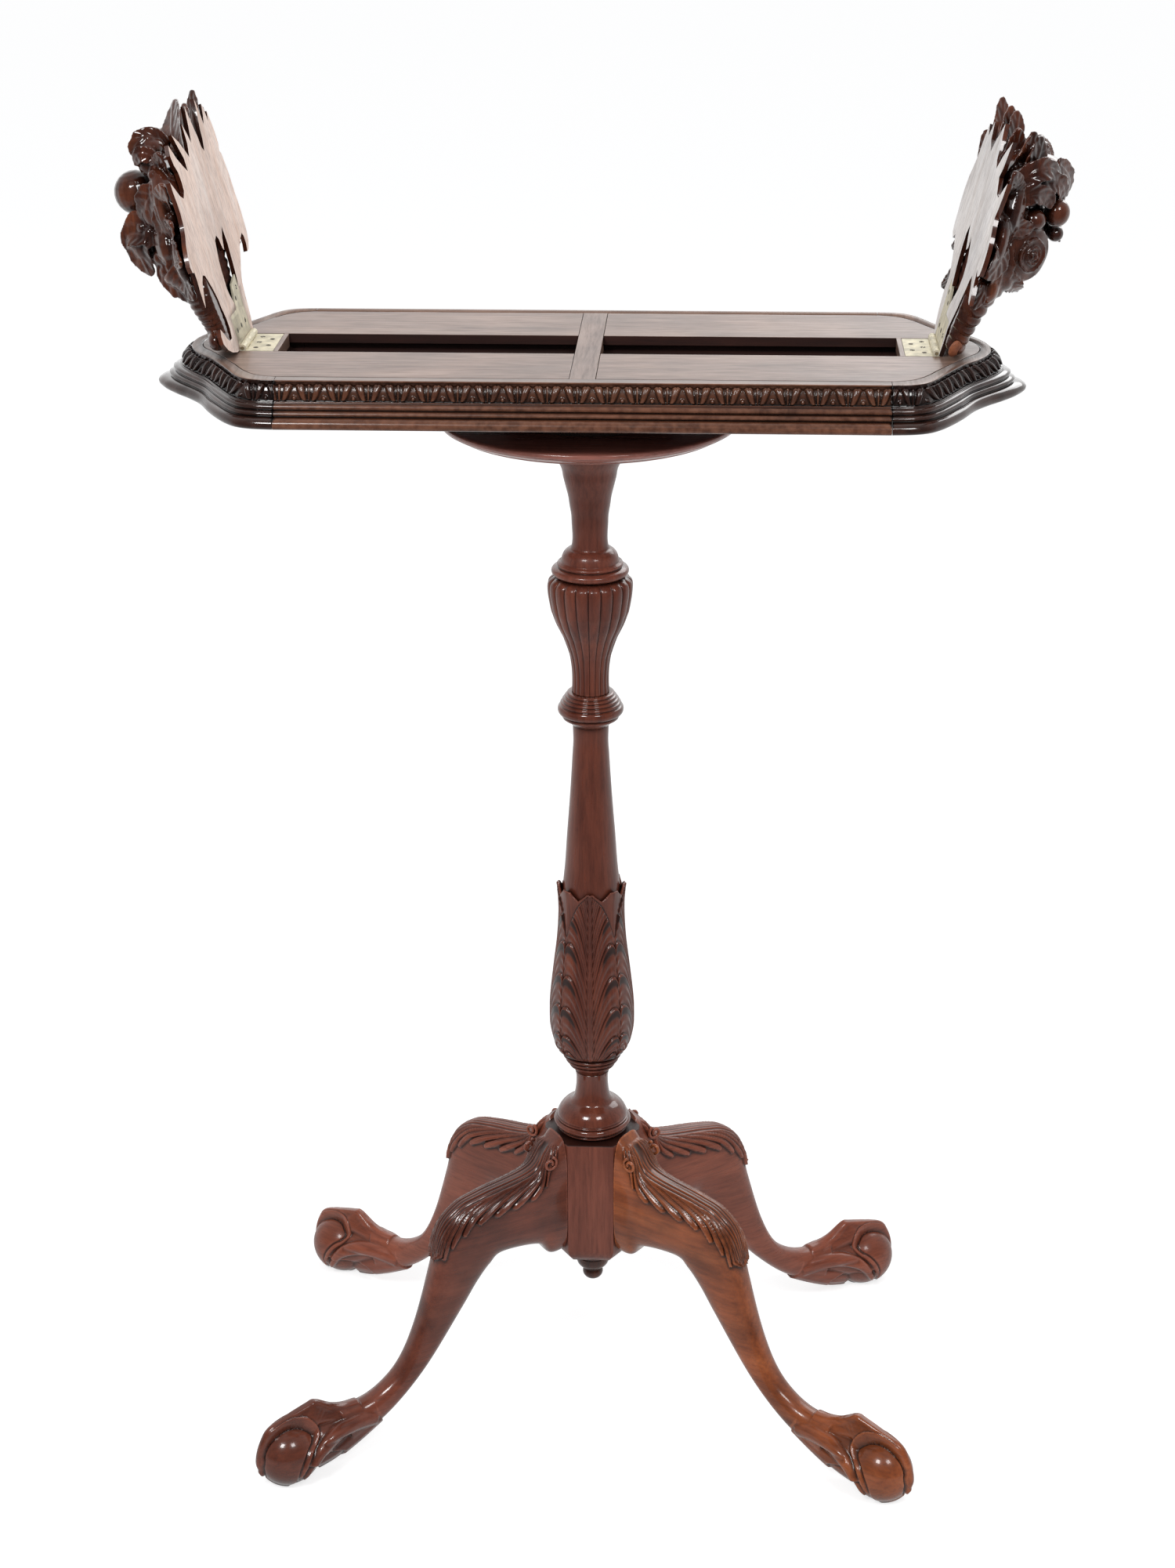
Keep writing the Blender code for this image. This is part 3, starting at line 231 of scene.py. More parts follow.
def wood(
    name, shades, grain="Z", gloss=0.3, coat=0.25, wear_and_highlight=0.0, recess_shade_and_stain=0.0, painted_corner_shade=0.0, bump=0.12, sheen=0.3,
    turn=0, polish=0.10, corner_reach=0.006, patch=14, patchy=0.0, painted_shade_above=None,
):
    """Wood with grain along one axis: broad bands, fine streaks, patches of shade, uneven gloss.

    Where the crest and recess amounts are given, the mesh's cavity values, 1 on a crest and 0 in a recess,
    lighten crests, partly as rubbed edges and partly as a painted highlight, and darken recesses as painted
    shade; values that a mesh lowers also darken its joints, deepen its tone and add painted shade there.
    Narrow corners of any mesh, found by an occlusion node, darken as painted shade, and so does all above a
    height."""
    dark, middle, light = shades
    material, nodes, links = new_tree(name)
    shader = nodes["Principled BSDF"]
    place = nodes.new("ShaderNodeTexCoord").outputs["Object"]
    if turn:
        turned_place = nodes.new("ShaderNodeMapping")
        turned_place.inputs["Rotation"].default_value = (0, 0, math.radians(-turn))
        links.new(place, turned_place.inputs["Vector"])
        place = turned_place.outputs[0]
    bands = noise_node(nodes, links, place, 9, 5, STRETCH[grain], 0.6)
    streaks = noise_node(nodes, links, place, 60, 4, STRETCH[grain], 0.65)
    patches = noise_node(nodes, links, place, patch, 3)
    ramp = ramp_node(nodes, [(0.28, dark), (0.5, middle), (0.74, light)])
    links.new(bands, ramp.inputs[0])
    fine = ramp_node(nodes, [(0.3, (0.62, 0.6, 0.6)), (0.55, (1, 1, 1)), (0.8, (1.12, 1.1, 1.08))])
    links.new(streaks, fine.inputs[0])
    colour = mixed(nodes, links, "MULTIPLY", 0.8, ramp.outputs[0], fine.outputs[0])
    shade = ramp_node(nodes, [
        (0.3, tuple(c * (1 - patchy) for c in (0.78, 0.75, 0.74))),
        (0.7, tuple(c * (1 + patchy) for c in (1.15, 1.12, 1.1))),
    ])
    links.new(patches, shade.inputs[0])
    colour = mixed(nodes, links, "MULTIPLY", 0.7, colour, shade.outputs[0])
    painted_shade_colour = tuple(c * 0.14 for c in dark)
    # Painted shade: an occlusion node darkens narrow corners and creases towards a near-black tone.
    if painted_corner_shade:
        corner = nodes.new("ShaderNodeAmbientOcclusion")
        corner.samples = 6
        corner.inputs["Distance"].default_value = corner_reach
        narrow = ranged(nodes, links, corner.outputs["AO"], 0.25, 0.85, painted_corner_shade, 0)
        colour = mixed(nodes, links, "MIX", narrow, colour, painted_shade_colour)
    # Painted shade: all that lies above the given height is darkened towards the near-black tone.
    if painted_shade_above:
        level = nodes.new("ShaderNodeSeparateXYZ")
        links.new(place, level.inputs[0])
        over = ranged(nodes, links, level.outputs["Z"], painted_shade_above, painted_shade_above + 0.0004, 0, 0.9)
        colour = mixed(nodes, links, "MIX", over, colour, painted_shade_colour)
    # Painted shade in recesses, where the cavity value is low; values a mesh lowers add its dark joints,
    # deeper tone and painted shade.
    if recess_shade_and_stain or wear_and_highlight:
        cavity = nodes.new("ShaderNodeAttribute")
        cavity.attribute_name = "cavity"
        low = ranged(nodes, links, cavity.outputs["Fac"], 0.05, 0.50, recess_shade_and_stain, 0)
        colour = mixed(nodes, links, "MIX", low, colour, painted_shade_colour)
    # Crests, where the cavity value is high, are lightened in spots: partly rubbed edges, partly a painted
    # highlight on rims that catch the light.
    if wear_and_highlight:
        spots = noise_node(nodes, links, place, 220, 3)
        high = ranged(nodes, links, cavity.outputs["Fac"], 0.72, 1.0, 0, wear_and_highlight)
        worn_and_lit = nodes.new("ShaderNodeMath")
        worn_and_lit.operation = "MULTIPLY"
        links.new(high, worn_and_lit.inputs[0])
        links.new(ranged(nodes, links, spots, 0.35, 0.65, 0.2, 1), worn_and_lit.inputs[1])
        pale = tuple(min(1, c * 2.4 + 0.02) for c in light)
        colour = mixed(nodes, links, "MIX", worn_and_lit.outputs[0], colour, pale)
    links.new(colour, shader.inputs["Base Color"])
    rough = ranged(nodes, links, streaks, 0.3, 0.7, gloss + 0.08, gloss - 0.04)
    links.new(rough, shader.inputs["Roughness"])
    shader.inputs["Specular IOR Level"].default_value = sheen
    shader.inputs["Coat Weight"].default_value = coat
    shader.inputs["Coat Roughness"].default_value = polish
    set_lift(nodes, links, shader, streaks, bump, 0.0004)
    return material


def metal(name, colour, rough, body=0.85):
    """Old metal with cloudy patches and fine scratches."""
    material, nodes, links = new_tree(name)
    shader = nodes["Principled BSDF"]
    place = nodes.new("ShaderNodeTexCoord").outputs["Object"]
    ramp = ramp_node(nodes, [(0.3, tuple(c * 0.62 for c in colour)), (0.65, colour)])
    links.new(noise_node(nodes, links, place, 160, 4), ramp.inputs[0])
    links.new(ramp.outputs[0], shader.inputs["Base Color"])
    shader.inputs["Metallic"].default_value = body
    scratches = noise_node(nodes, links, place, 300, 3, (1, 12, 1))
    links.new(ranged(nodes, links, scratches, 0.3, 0.7, rough + 0.15, rough), shader.inputs["Roughness"])
    set_lift(nodes, links, shader, scratches, 0.15, 0.0002)
    return material


# Each wood's dark, middle and light shade
RED_SHADES = ((0.075, 0.018, 0.011), (0.125, 0.033, 0.019), (0.175, 0.050, 0.028))
BLOCK_SHADES = ((0.110, 0.029, 0.018), (0.165, 0.047, 0.029), (0.215, 0.065, 0.040))
# Painted light: the rear legs' lit side faces, as a lighter copy of the legs' mahogany.
REAR_LIT_SHADES = ((0.175, 0.046, 0.025), (0.225, 0.062, 0.034), (0.270, 0.080, 0.044))
# Painted light: the disc's mahogany is made lighter to stand in for the bounce light it gets under the top.
DISC_LIT_SHADES = ((0.200, 0.074, 0.056), (0.300, 0.114, 0.088), (0.390, 0.160, 0.124))
LEG_SHADES = ((0.095, 0.023, 0.013), (0.128, 0.034, 0.019), (0.160, 0.046, 0.026))
DARK_SHADES = ((0.012, 0.005, 0.004), (0.026, 0.010, 0.007), (0.048, 0.017, 0.011))
ROLL_SHADES = ((0.040, 0.013, 0.007), (0.080, 0.028, 0.014), (0.135, 0.054, 0.028))
# The front right leg's orange tone is its own; its extra lightness is painted light on its lit side.
ORANGE_SHADES = ((0.145, 0.036, 0.012), (0.235, 0.062, 0.020), (0.310, 0.092, 0.032))
# The top's light brown is partly the boards' weathered tone and partly a painted reflection of the bright
# backdrop.
TOP_SHADES = ((0.140, 0.080, 0.058), (0.210, 0.130, 0.097), (0.285, 0.188, 0.144))
CARVED_SHADES = ((0.020, 0.006, 0.004), (0.062, 0.016, 0.008), (0.135, 0.038, 0.015))
# Near-black: the inner wood's colour carries painted shade for the slot, the gaps and the parts under the
# top.
SHADOWED_INNER_SHADES = ((0.012, 0.004, 0.003), (0.024, 0.007, 0.005), (0.040, 0.012, 0.008))
PINK_SHADES = ((0.88, 0.68, 0.57), (0.97, 0.80, 0.71), (1.0, 0.90, 0.84))
WHITE_SHADES = ((0.78, 0.74, 0.71), (0.97, 0.95, 0.93), (1.0, 1.0, 1.0))
RAW_SHADES = ((0.20, 0.060, 0.026), (0.34, 0.115, 0.052), (0.48, 0.19, 0.10))

# Where these woods darken corners and recesses, that is painted shade; their lighter crests are partly
# rubbed edges and partly a painted highlight.
RED_UP = wood("mahogany_upright", RED_SHADES, "Z", 0.3, 0.4, painted_corner_shade=0.85)
# The block's flat top, in the recess under the pillar foot, is darkened as painted shade.
BLOCK_RED = wood("mahogany_block", BLOCK_SHADES, "Z", 0.4, 0.15, painted_corner_shade=0.8, painted_shade_above=0.2042)
FOOT_RED = wood("mahogany_foot", RED_SHADES, "Z", 0.16, 0.7, painted_corner_shade=0.9, polish=0.06)
# Painted light: the neck takes the block's lighter shades against the shade of the top above it.
NECK_RED = wood("mahogany_neck_lit", BLOCK_SHADES, "Z", 0.3, 0.4, painted_corner_shade=0.85)
SLIT_DARK = wood("slit_wood", CARVED_SHADES, "Z", 0.8, 0.0, recess_shade_and_stain=0.9, painted_corner_shade=0.9, sheen=0.05)
# Painted light: the lightened disc under the top.
DISC_RED = wood("mahogany_disc_lit", DISC_LIT_SHADES, "X", 0.2, 0.6, sheen=0.5)
RED_CARVED = wood("mahogany_carved", RED_SHADES, "Z", 0.3, 0.4, recess_shade_and_stain=0.9, wear_and_highlight=0.15, painted_corner_shade=0.9)
RED_BAND = wood(
    "mahogany_band", ROLL_SHADES, "X", 0.24, 0.5, recess_shade_and_stain=0.95, wear_and_highlight=0.3, painted_corner_shade=0.9, polish=0.08, patch=30,
    patchy=0.2,
)
DARK_BAND = wood(
    "mahogany_dark_band", DARK_SHADES, "Y", 0.18, 0.9, recess_shade_and_stain=0.9, wear_and_highlight=0.1, painted_corner_shade=0.9, sheen=0.2,
    polish=0.06,
)
DARK_TURNED = wood("mahogany_dark_turned", CARVED_SHADES, "Z", 0.25, 0.5, painted_corner_shade=0.9)
DARK_ALONG = wood("mahogany_dark", DARK_SHADES, "Y", 0.25)
LEG_RED = wood(
    "leg_mahogany", LEG_SHADES, "X", 0.22, 0.6, recess_shade_and_stain=0.9, wear_and_highlight=0.3, painted_corner_shade=0.8, turn=LEG_TURN, polish=0.09,
    patch=32, patchy=0.25,
)
# Partly painted light: this leg is lighter for the stronger light on its side.
LEG_ORANGE = wood(
    "leg_mahogany_orange", ORANGE_SHADES, "X", 0.25, 0.5, recess_shade_and_stain=0.9, wear_and_highlight=0.25, painted_corner_shade=0.8, turn=-LEG_TURN,
    patch=32, patchy=0.3,
)
# The rear legs' lighter wood is painted light.
LEG_REAR, LEG_REAR_TURNED = (
    wood(name, REAR_LIT_SHADES, "X", 0.3, 0.3, recess_shade_and_stain=0.9, wear_and_highlight=0.2, painted_corner_shade=0.8, turn=turn)
    for name, turn in (("leg_mahogany_rear", LEG_TURN), ("leg_mahogany_rear_turned", -LEG_TURN))
)
# Partly painted reflection: the boards' light brown.
TOP_ALONG, TOP_ACROSS = (
    wood(name, TOP_SHADES, grain, 0.38, 0.18, sheen=0.4, patch=22, patchy=0.12)
    for name, grain in (("top_along", "X"), ("top_across", "Y"))
)
# Painted shade: the near-black inner wood.
INNER = wood("inner_wood", SHADOWED_INNER_SHADES, "X", 0.6, 0.0)
CARVED = wood(
    "carved_wood", CARVED_SHADES, "Z", 0.2, 0.9, recess_shade_and_stain=0.9, wear_and_highlight=0.06, painted_corner_shade=0.95, sheen=0.2, polish=0.05,
    corner_reach=0.018, patch=40, patchy=0.4,
)
BARE_PINK = wood("bare_pink", PINK_SHADES, "Z", 0.7, 0.0, bump=0.3, sheen=0.2)
BARE_WHITE = wood("bare_white", WHITE_SHADES, "Z", 0.7, 0.0, bump=0.3, sheen=0.2)
RAW_END = wood("raw_end", RAW_SHADES, "Y", 0.5, 0.1, bump=0.3)
BRASS = metal("pale_brass", (0.62, 0.52, 0.32), 0.34)
CREAM_BRASS = metal("cream_brass", (0.84, 0.77, 0.58), 0.5, body=0.35)
DARK_STEEL = metal("dark_steel", (0.10, 0.085, 0.065), 0.5, body=0.5)
STEEL = metal("steel", (0.35, 0.34, 0.33), 0.4)


def dress(names, material):
    for name in names:
        node = NODES[name]
        node.data.materials.clear()
        node.data.materials.append(material)


# Mesh tools

def held(value):
    """The value, held between 0 and 1."""
    return np.clip(value, 0, 1)


def smooth_step(value, low, high):
    t = held((value - low) / (high - low))
    return t * t * (3 - 2 * t)


def bell(value, middle, width):
    """1 at the middle, fading over the width on both sides."""
    return np.exp(-(((value - middle) / width) ** 2))


def half_round(value):
    """1 at 0, falling to 0 at -1 and 1 along a half circle."""
    return np.sqrt(held(1 - value**2))


def unit(vectors):
    return vectors / np.linalg.norm(vectors, axis=-1, keepdims=True)


def circle(count):
    return np.linspace(0, 2 * math.pi, count, endpoint=False)


def polar(radius, angle, height):
    """Points at a radius, an angle and a height."""
    return np.stack(np.broadcast_arrays(radius * np.cos(angle), radius * np.sin(angle), height), -1)


def lengths_along(points):
    return np.concatenate([[0], np.cumsum(np.linalg.norm(np.diff(points, axis=0), axis=1))])


def rings_along(centre, angle, hint):
    """Rings of unit size round a path, kept in line by a hint: a direction that the path never takes."""
    tangent = unit(np.gradient(centre, axis=0))
    side = unit(np.cross(tangent, np.array(hint)))
    other = np.cross(tangent, side)
    return np.cos(angle)[None, :, None] * side[:, None] + np.sin(angle)[None, :, None] * other[:, None]


def rows_between(rows, steps):
    """Rows of numbers with steps spans between each two, on a Catmull-Rom curve through them."""
    rows = np.array(rows, float)
    padded = np.vstack([rows[:1], rows, rows[-1:]])
    t = (np.arange(steps) / steps)[:, None]
    found = []
    for a, b, c, d in zip(padded, padded[1:], padded[2:], padded[3:]):
        found.append(0.5 * (
            2 * b + (c - a) * t + (2 * a - 5 * b + 4 * c - d) * t**2 + (3 * b - a - 3 * c + d) * t**3
        ))
    found.append(rows[-1:])
    return np.vstack(found)


def grid_shape(points, wrap=True, caps=True):
    """Vertices and faces through rows of equally many points, each end closed by a fan to its middle."""
    points = np.array(points, float)
    rows, cols = points.shape[:2]
    verts = points.reshape(-1, 3)
    index = np.arange(rows * cols).reshape(rows, cols)
    right = np.roll(index, -1, 1) if wrap else index[:, 1:]
    left = index if wrap else index[:, :-1]
    faces = np.stack([left[:-1], right[:-1], right[1:], left[1:]], -1).reshape(-1, 4).tolist()
    if caps:
        for row in (index[0], index[-1]):
            middle = len(verts)
            verts = np.vstack([verts, verts[row].mean(0)])
            faces += [[int(a), int(b), middle] for a, b in zip(row, np.roll(row, -1))]
    return verts, faces


def joined(shapes):
    verts, faces, start = [], [], 0
    for v, f in shapes:
        verts.append(np.array(v, float))
        faces += [[i + start for i in face] for face in f]
        start += len(v)
    return np.vstack(verts), faces


def faces_outward(mesh, merge=0):
    """Turns a closed mesh's faces outward, after points nearer than merge are joined."""
    made = bmesh.new()
    made.from_mesh(mesh)
    if merge:
        bmesh.ops.remove_doubles(made, verts=made.verts, dist=merge)
    bmesh.ops.recalc_face_normals(made, faces=made.faces)
    made.to_mesh(mesh)
    made.free()
    return mesh


def mesh_of(name, shape):
    verts, faces = shape
    mesh = bpy.data.meshes.new(name)
    mesh.from_pydata(np.asarray(verts).tolist(), [], faces)
    return faces_outward(mesh)


def coordinates(mesh):
    co = np.empty(len(mesh.vertices) * 3)
    mesh.vertices.foreach_get("co", co)
    return co.reshape(-1, 3)


def edge_pairs(mesh):
    pairs = np.empty(len(mesh.edges) * 2, int)
    mesh.edges.foreach_get("vertices", pairs)
    return pairs.reshape(-1, 2)


def relaxed(co, pairs, rounds, share=0.5):
    """The points, each drawn towards the middle of its neighbours by a share, a number of rounds."""
    a, b = pairs.T
    count = len(co)
    near = np.bincount(a, minlength=count) + np.bincount(b, minlength=count)
    near = np.maximum(near, 1)[:, None]
    for _ in range(rounds):
        total = np.stack([
            np.bincount(a, co[b, k], count) + np.bincount(b, co[a, k], count) for k in range(3)
        ], 1)
        co = co + share * (total / near - co)
    return co


def set_cavity(mesh, rounds, reach, shift=0):
    """Stores how far each vertex stands over its smoothed surroundings: 1 on a crest, 0 in a recess.

    A shift lowers the values, which darkens that part."""
    co = coordinates(mesh)
    normal = np.empty(len(co) * 3)
    mesh.vertices.foreach_get("normal", normal)
    away = ((co - relaxed(co, edge_pairs(mesh), rounds)) * normal.reshape(-1, 3)).sum(1)
    store_cavity(mesh, held(0.5 + away / (2 * reach) - shift))


def store_cavity(mesh, values):
    attribute = mesh.attributes.new("cavity", "FLOAT", "POINT")
    attribute.data.foreach_set("value", values.astype(np.float32))


def piece(name, mesh, material, body, stands_for=(), crisp=None):
    """A finished piece that rides on a body; with crisp, edges of more degrees than that stay sharp."""
    mesh.shade_smooth()
    if crisp is not None:
        mesh.set_sharp_from_angle(angle=math.radians(crisp))
    mesh.materials.clear()
    mesh.materials.append(material)
    made = placed(name, mesh)
    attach(made, body)
    if stands_for:
        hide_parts(*stands_for)
    return made


def baked(holder):
    """An object's mesh with its modifiers applied; the object itself goes."""
    bpy.context.view_layer.update()
    graph = bpy.context.evaluated_depsgraph_get()
    mesh = bpy.data.meshes.new_from_object(holder.evaluated_get(graph))
    bpy.data.objects.remove(holder)
    return mesh


def fused(name, shapes, voxel, rounds):
    """One carved solid out of overlapping ones, smoothed a little."""
    rough = placed(name + "_parts", mesh_of(name + "_parts", joined(shapes)))
    change = rough.modifiers.new("fuse", "REMESH")
    change.mode = "VOXEL"
    change.voxel_size = voxel
    made = baked(rough)
    made.name = name
    co = relaxed(coordinates(made), edge_pairs(made), rounds)
    made.vertices.foreach_set("co", co.ravel())
    made.update()
    return made


def normals_of(points, wrap=False):
    """Unit normals of a grid of points, pointing to the right of its rows."""
    if wrap:
        around = np.roll(points, -1, 1) - np.roll(points, 1, 1)
    else:
        around = np.gradient(points, axis=1)
    along = np.gradient(points, axis=0)
    normal = np.cross(around, along)
    return normal / np.maximum(np.linalg.norm(normal, axis=2), 1e-12)[..., None]


def round_bead(radius, high, low, bulge, count=7):
    """A half-round bead down a turned profile."""
    angles = np.linspace(0, math.pi, count)
    middle, half = (high + low) / 2, (high - low) / 2
    return [(radius + bulge * math.sin(a), middle + half * math.cos(a)) for a in angles]


def lathe(profile, steps):
    profile = np.array(profile, float)
    return polar(profile[:, :1], circle(steps), profile[:, 1:])


# Pillar: profiles are points of (radius, height)

def curve_points(points, steps=6):
    return [tuple(p) for p in rows_between(points, steps)]


def turned(name, profile, material, stands_for=(), steps=112):
    """A piece of the base, turned round the pillar's axis."""
    mesh = mesh_of(name, grid_shape(lathe(profile, steps)))
    piece(name, mesh, material, "base", stands_for)
    return mesh


def make_vase():
    neck = curve_points([
        (0.0305, 0.7025), (0.0270, 0.6990), (0.0238, 0.6930), (0.0212, 0.6875), (0.0181, 0.6814),
        (0.0169, 0.6752), (0.0154, 0.6691), (0.0139, 0.6629), (0.0130, 0.6567), (0.0120, 0.6504),
        (0.0117, 0.6442), (0.0113, 0.6364), (0.0116, 0.6312), (0.0125, 0.6285), (0.0147, 0.6273),
        (0.0168, 0.6253), (0.0181, 0.6226), (0.0186, 0.6196),
    ])
    neck += [(0.0198, 0.6193)] + round_bead(0.0200, 0.6190, 0.6163, 0.0013) + [(0.0206, 0.6160)]
    neck += [(0.0222, 0.6158)] + round_bead(0.0226, 0.6156, 0.6108, 0.0024, 9)
    neck += [(0.0214, 0.6106), (0.0100, 0.6100)]
    turned("vase_neck", neck, NECK_RED)

    reeds, reed_depth, widest, reed_top = 20, 0.0017, 0.0277, 0.6098
    crest = rows_between([
        (0.6100, 0.0225), (0.6085, 0.0252), (0.6063, 0.0270), (0.6032, 0.0277), (0.5985, 0.0275),
        (0.5936, 0.0268), (0.5872, 0.0256), (0.5840, 0.0246), (0.5776, 0.0223), (0.5711, 0.0192),
        (0.5679, 0.0177), (0.5614, 0.0154), (0.5582, 0.0144), (0.5549, 0.0135), (0.5480, 0.0125),
        (0.5419, 0.0121), (0.5353, 0.0121), (0.5303, 0.0124),
    ], 10)
    height, radius = crest[:, :1], crest[:, 1:]
    angle = circle(480)
    across = np.abs(((angle * reeds / (2 * math.pi)) % 1) - 0.5) * 2
    depth = reed_depth * (radius / widest) ** 0.8
    round_top = np.sqrt(held(1 - across**2.2))[None, :]
    start = reed_top - 0.0030 * (1 - round_top)
    closing = np.sqrt(held((start - height) / 0.0035))
    radius = radius - depth * (1 - round_top * closing)
    mesh = mesh_of("vase_reeds", grid_shape(polar(radius, angle, height)))
    set_cavity(mesh, 20, 0.0005)
    piece("vase_reeds", mesh, RED_CARVED, "base", ("reeded_vase",))


def make_ring_collar():
    profile = [(0.0110, 0.5301), (0.0140, 0.5300)]
    for radius, high, low in (
        (0.0146, 0.5299, 0.5281), (0.0161, 0.5279, 0.5259), (0.0176, 0.5257, 0.5236),
        (0.0189, 0.5234, 0.5212),
    ):
        profile += round_bead(radius, high, low, 0.0011)
    profile += round_bead(0.0200, 0.5209, 0.5153, 0.0017, 11)
    profile += [(0.0182, 0.5150)] + round_bead(0.0176, 0.5147, 0.5117, 0.0012, 9)
    profile += [(0.0158, 0.5112), (0.0142, 0.5098), (0.0130, 0.5079), (0.0100, 0.5078)]
    turned("ring_collar_turned", profile, FOOT_RED, ("ring_collar",))


def leaf_sheaf(across, height, tips, tip_at, plunge):
    """Relief of overlapping lobes beside a midrib, and the painted shade in their curled tips' hollows, 0
    to 1.

    across is 0 on the midrib and 1 on the leaf's edge, height runs up the leaf, and each lobe ends at its
    tip's height. Just above a tip the surface drops into the shadow under the next lobe."""
    inside = held(across / tip_at)
    outside = held((across - tip_at) / max(1 - tip_at, 1e-6))
    step = float(np.mean(np.diff(tips)))
    relief = np.zeros(np.broadcast(across, height).shape)
    shade = np.zeros(relief.shape)
    done = np.zeros(relief.shape, bool)
    lower = None
    for tip in list(tips) + [tips[-1] + k * step for k in (1, 2, 3, 4)]:
        edge = tip - plunge * (1 - inside) ** 2.1 - 0.22 * step * outside**2
        if lower is None:
            lower = edge - step
        t = (height - lower) / np.maximum(edge - lower, 1e-9)
        here = (t <= 1) & ~done
        t = held(t)
        veins = 0.5 - 0.5 * np.cos(t * 3 * 2 * math.pi)
        lift = t**0.75 * held((1.0 - t) / 0.06) ** 0.5
        outer = smooth_step(across, 0.35, 0.62) * smooth_step(1.0 - across, 0.0, 0.06)
        curl = bell(t, 0.82, 0.11) * outer
        value = lift * (0.2 + 0.8 * smooth_step(across, 0.1, 0.75))
        value = value + 0.26 * veins * np.minimum(1, (1 - t) * 4)
        relief = np.where(here, value - 0.25 * curl, relief)
        # Painted shade in the hollow just under each curled tip.
        shade = np.where(here, curl, shade)
        done |= here
        lower = edge
    return relief, shade


def make_baluster():
    shaft = curve_points([
        (0.0112, 0.5075), (0.0118, 0.5056), (0.0116, 0.4956), (0.0122, 0.4856), (0.0132, 0.4688),
        (0.0146, 0.4485), (0.0162, 0.4280), (0.0176, 0.4073), (0.0190, 0.3934), (0.0196, 0.3820),
    ])
    shaft += [(0.0180, 0.3700), (0.0165, 0.2660), (0.0185, 0.2650)]
    shaft += round_bead(0.0182, 0.2648, 0.2618, 0.0021, 9) + round_bead(0.0164, 0.2612, 0.2582, 0.0020, 9)
    shaft += [(0.0158, 0.2575)] + round_bead(0.0146, 0.2571, 0.2546, 0.0013, 7)
    shaft += [(0.0122, 0.2535), (0.0116, 0.2503)]
    turned("baluster_shaft", shaft, RED_UP)

    # The sleeve of four leaves; its section's points are (height, radius)
    bottom, top, rim_dip = 0.2640, 0.3922, 0.0054
    lobe_tips = [0.2735, 0.2870, 0.3090, 0.3316, 0.3552, 0.3755]
    section = rows_between([
        (0.2640, 0.0185), (0.2665, 0.0214), (0.2683, 0.0234), (0.2720, 0.0256), (0.2793, 0.0275),
        (0.2866, 0.0286), (0.2975, 0.0288), (0.3083, 0.0284), (0.3299, 0.0262), (0.3512, 0.0238),
        (0.3689, 0.0228), (0.3829, 0.0230), (0.3930, 0.0241),
    ], 30)
    angle = circle(720)
    across = np.abs(((angle / (math.pi / 2) + 0.5) % 1 - 0.5) * 2)[None, :]
    rim = top - rim_dip * held(1 - np.abs(across - 0.48) / 0.34) ** 0.8
    share = np.linspace(0, 1, 420)[:, None]
    height = bottom + share * (rim - bottom)
    radius = np.interp(height, section[:, 0], section[:, 1])
    relief, shade = leaf_sheaf(across, height, lobe_tips, 0.86, 0.044)
    reach = np.interp(height, [0.352, 0.3600, 0.3755, 0.3850, 0.3925], [1.4, 0.95, 0.70, 0.42, 0.02])
    on_leaf = smooth_step(reach - across, -0.01, 0.03)
    plain = 0.0003 + 0.0005 * (1 - held(np.abs(across - 1) / 0.3))
    relief = (0.0004 + 0.0019 * relief) * on_leaf + plain * (1 - on_leaf)
    upper = smooth_step(height, 0.3545, 0.3575)
    # Painted shade: in the curled tips' hollows, and along the upper leaves' edges.
    shade = shade * on_leaf + 0.35 * bell(reach, across, 0.035) * upper
    rib = held(1 - (across / (0.085 - 0.05 * share)) ** 2) ** 0.5
    relief = np.maximum(relief, 0.0019 * rib * (1 - 0.5 * share))
    groove = held(1 - np.abs(across - (0.14 - 0.06 * share)) / 0.04) * 0.0004
    seam = held(1 - np.abs(across - 1) / 0.035) * 0.0007 * (1 - upper)
    fade = smooth_step(share, 0, 0.03)
    radius = radius - 0.0014 + (relief - groove - seam) * fade
    shade = np.broadcast_to(shade * fade, radius.shape)
    rows = [polar(radius, angle, height)]
    top_r, top_z = radius[-1:], height[-1:]
    for inset, drop in ((0.0004, -0.0003), (0.0013, -0.0003), (0.0019, 0.0004)):
        rows.append(polar(top_r - inset, angle, top_z - drop))
    for inner, level in ((0.0188, 0.3790), (0.0188 * 0.8, 0.3700)):
        rows.append(polar(np.full_like(top_r, inner), angle, level))
    mesh = mesh_of("baluster_leaves", grid_shape(np.vstack(rows)))
    # The painted shade lowers the cavity values, which darkens those places.
    painted_shade_shift = np.zeros(len(mesh.vertices))
    painted_shade_shift[:shade.size] = 0.9 * shade.ravel()
    set_cavity(mesh, 24, 0.0006, painted_shade_shift)
    piece("baluster_leaves", mesh, RED_CARVED, "base", ("leaf_baluster",))


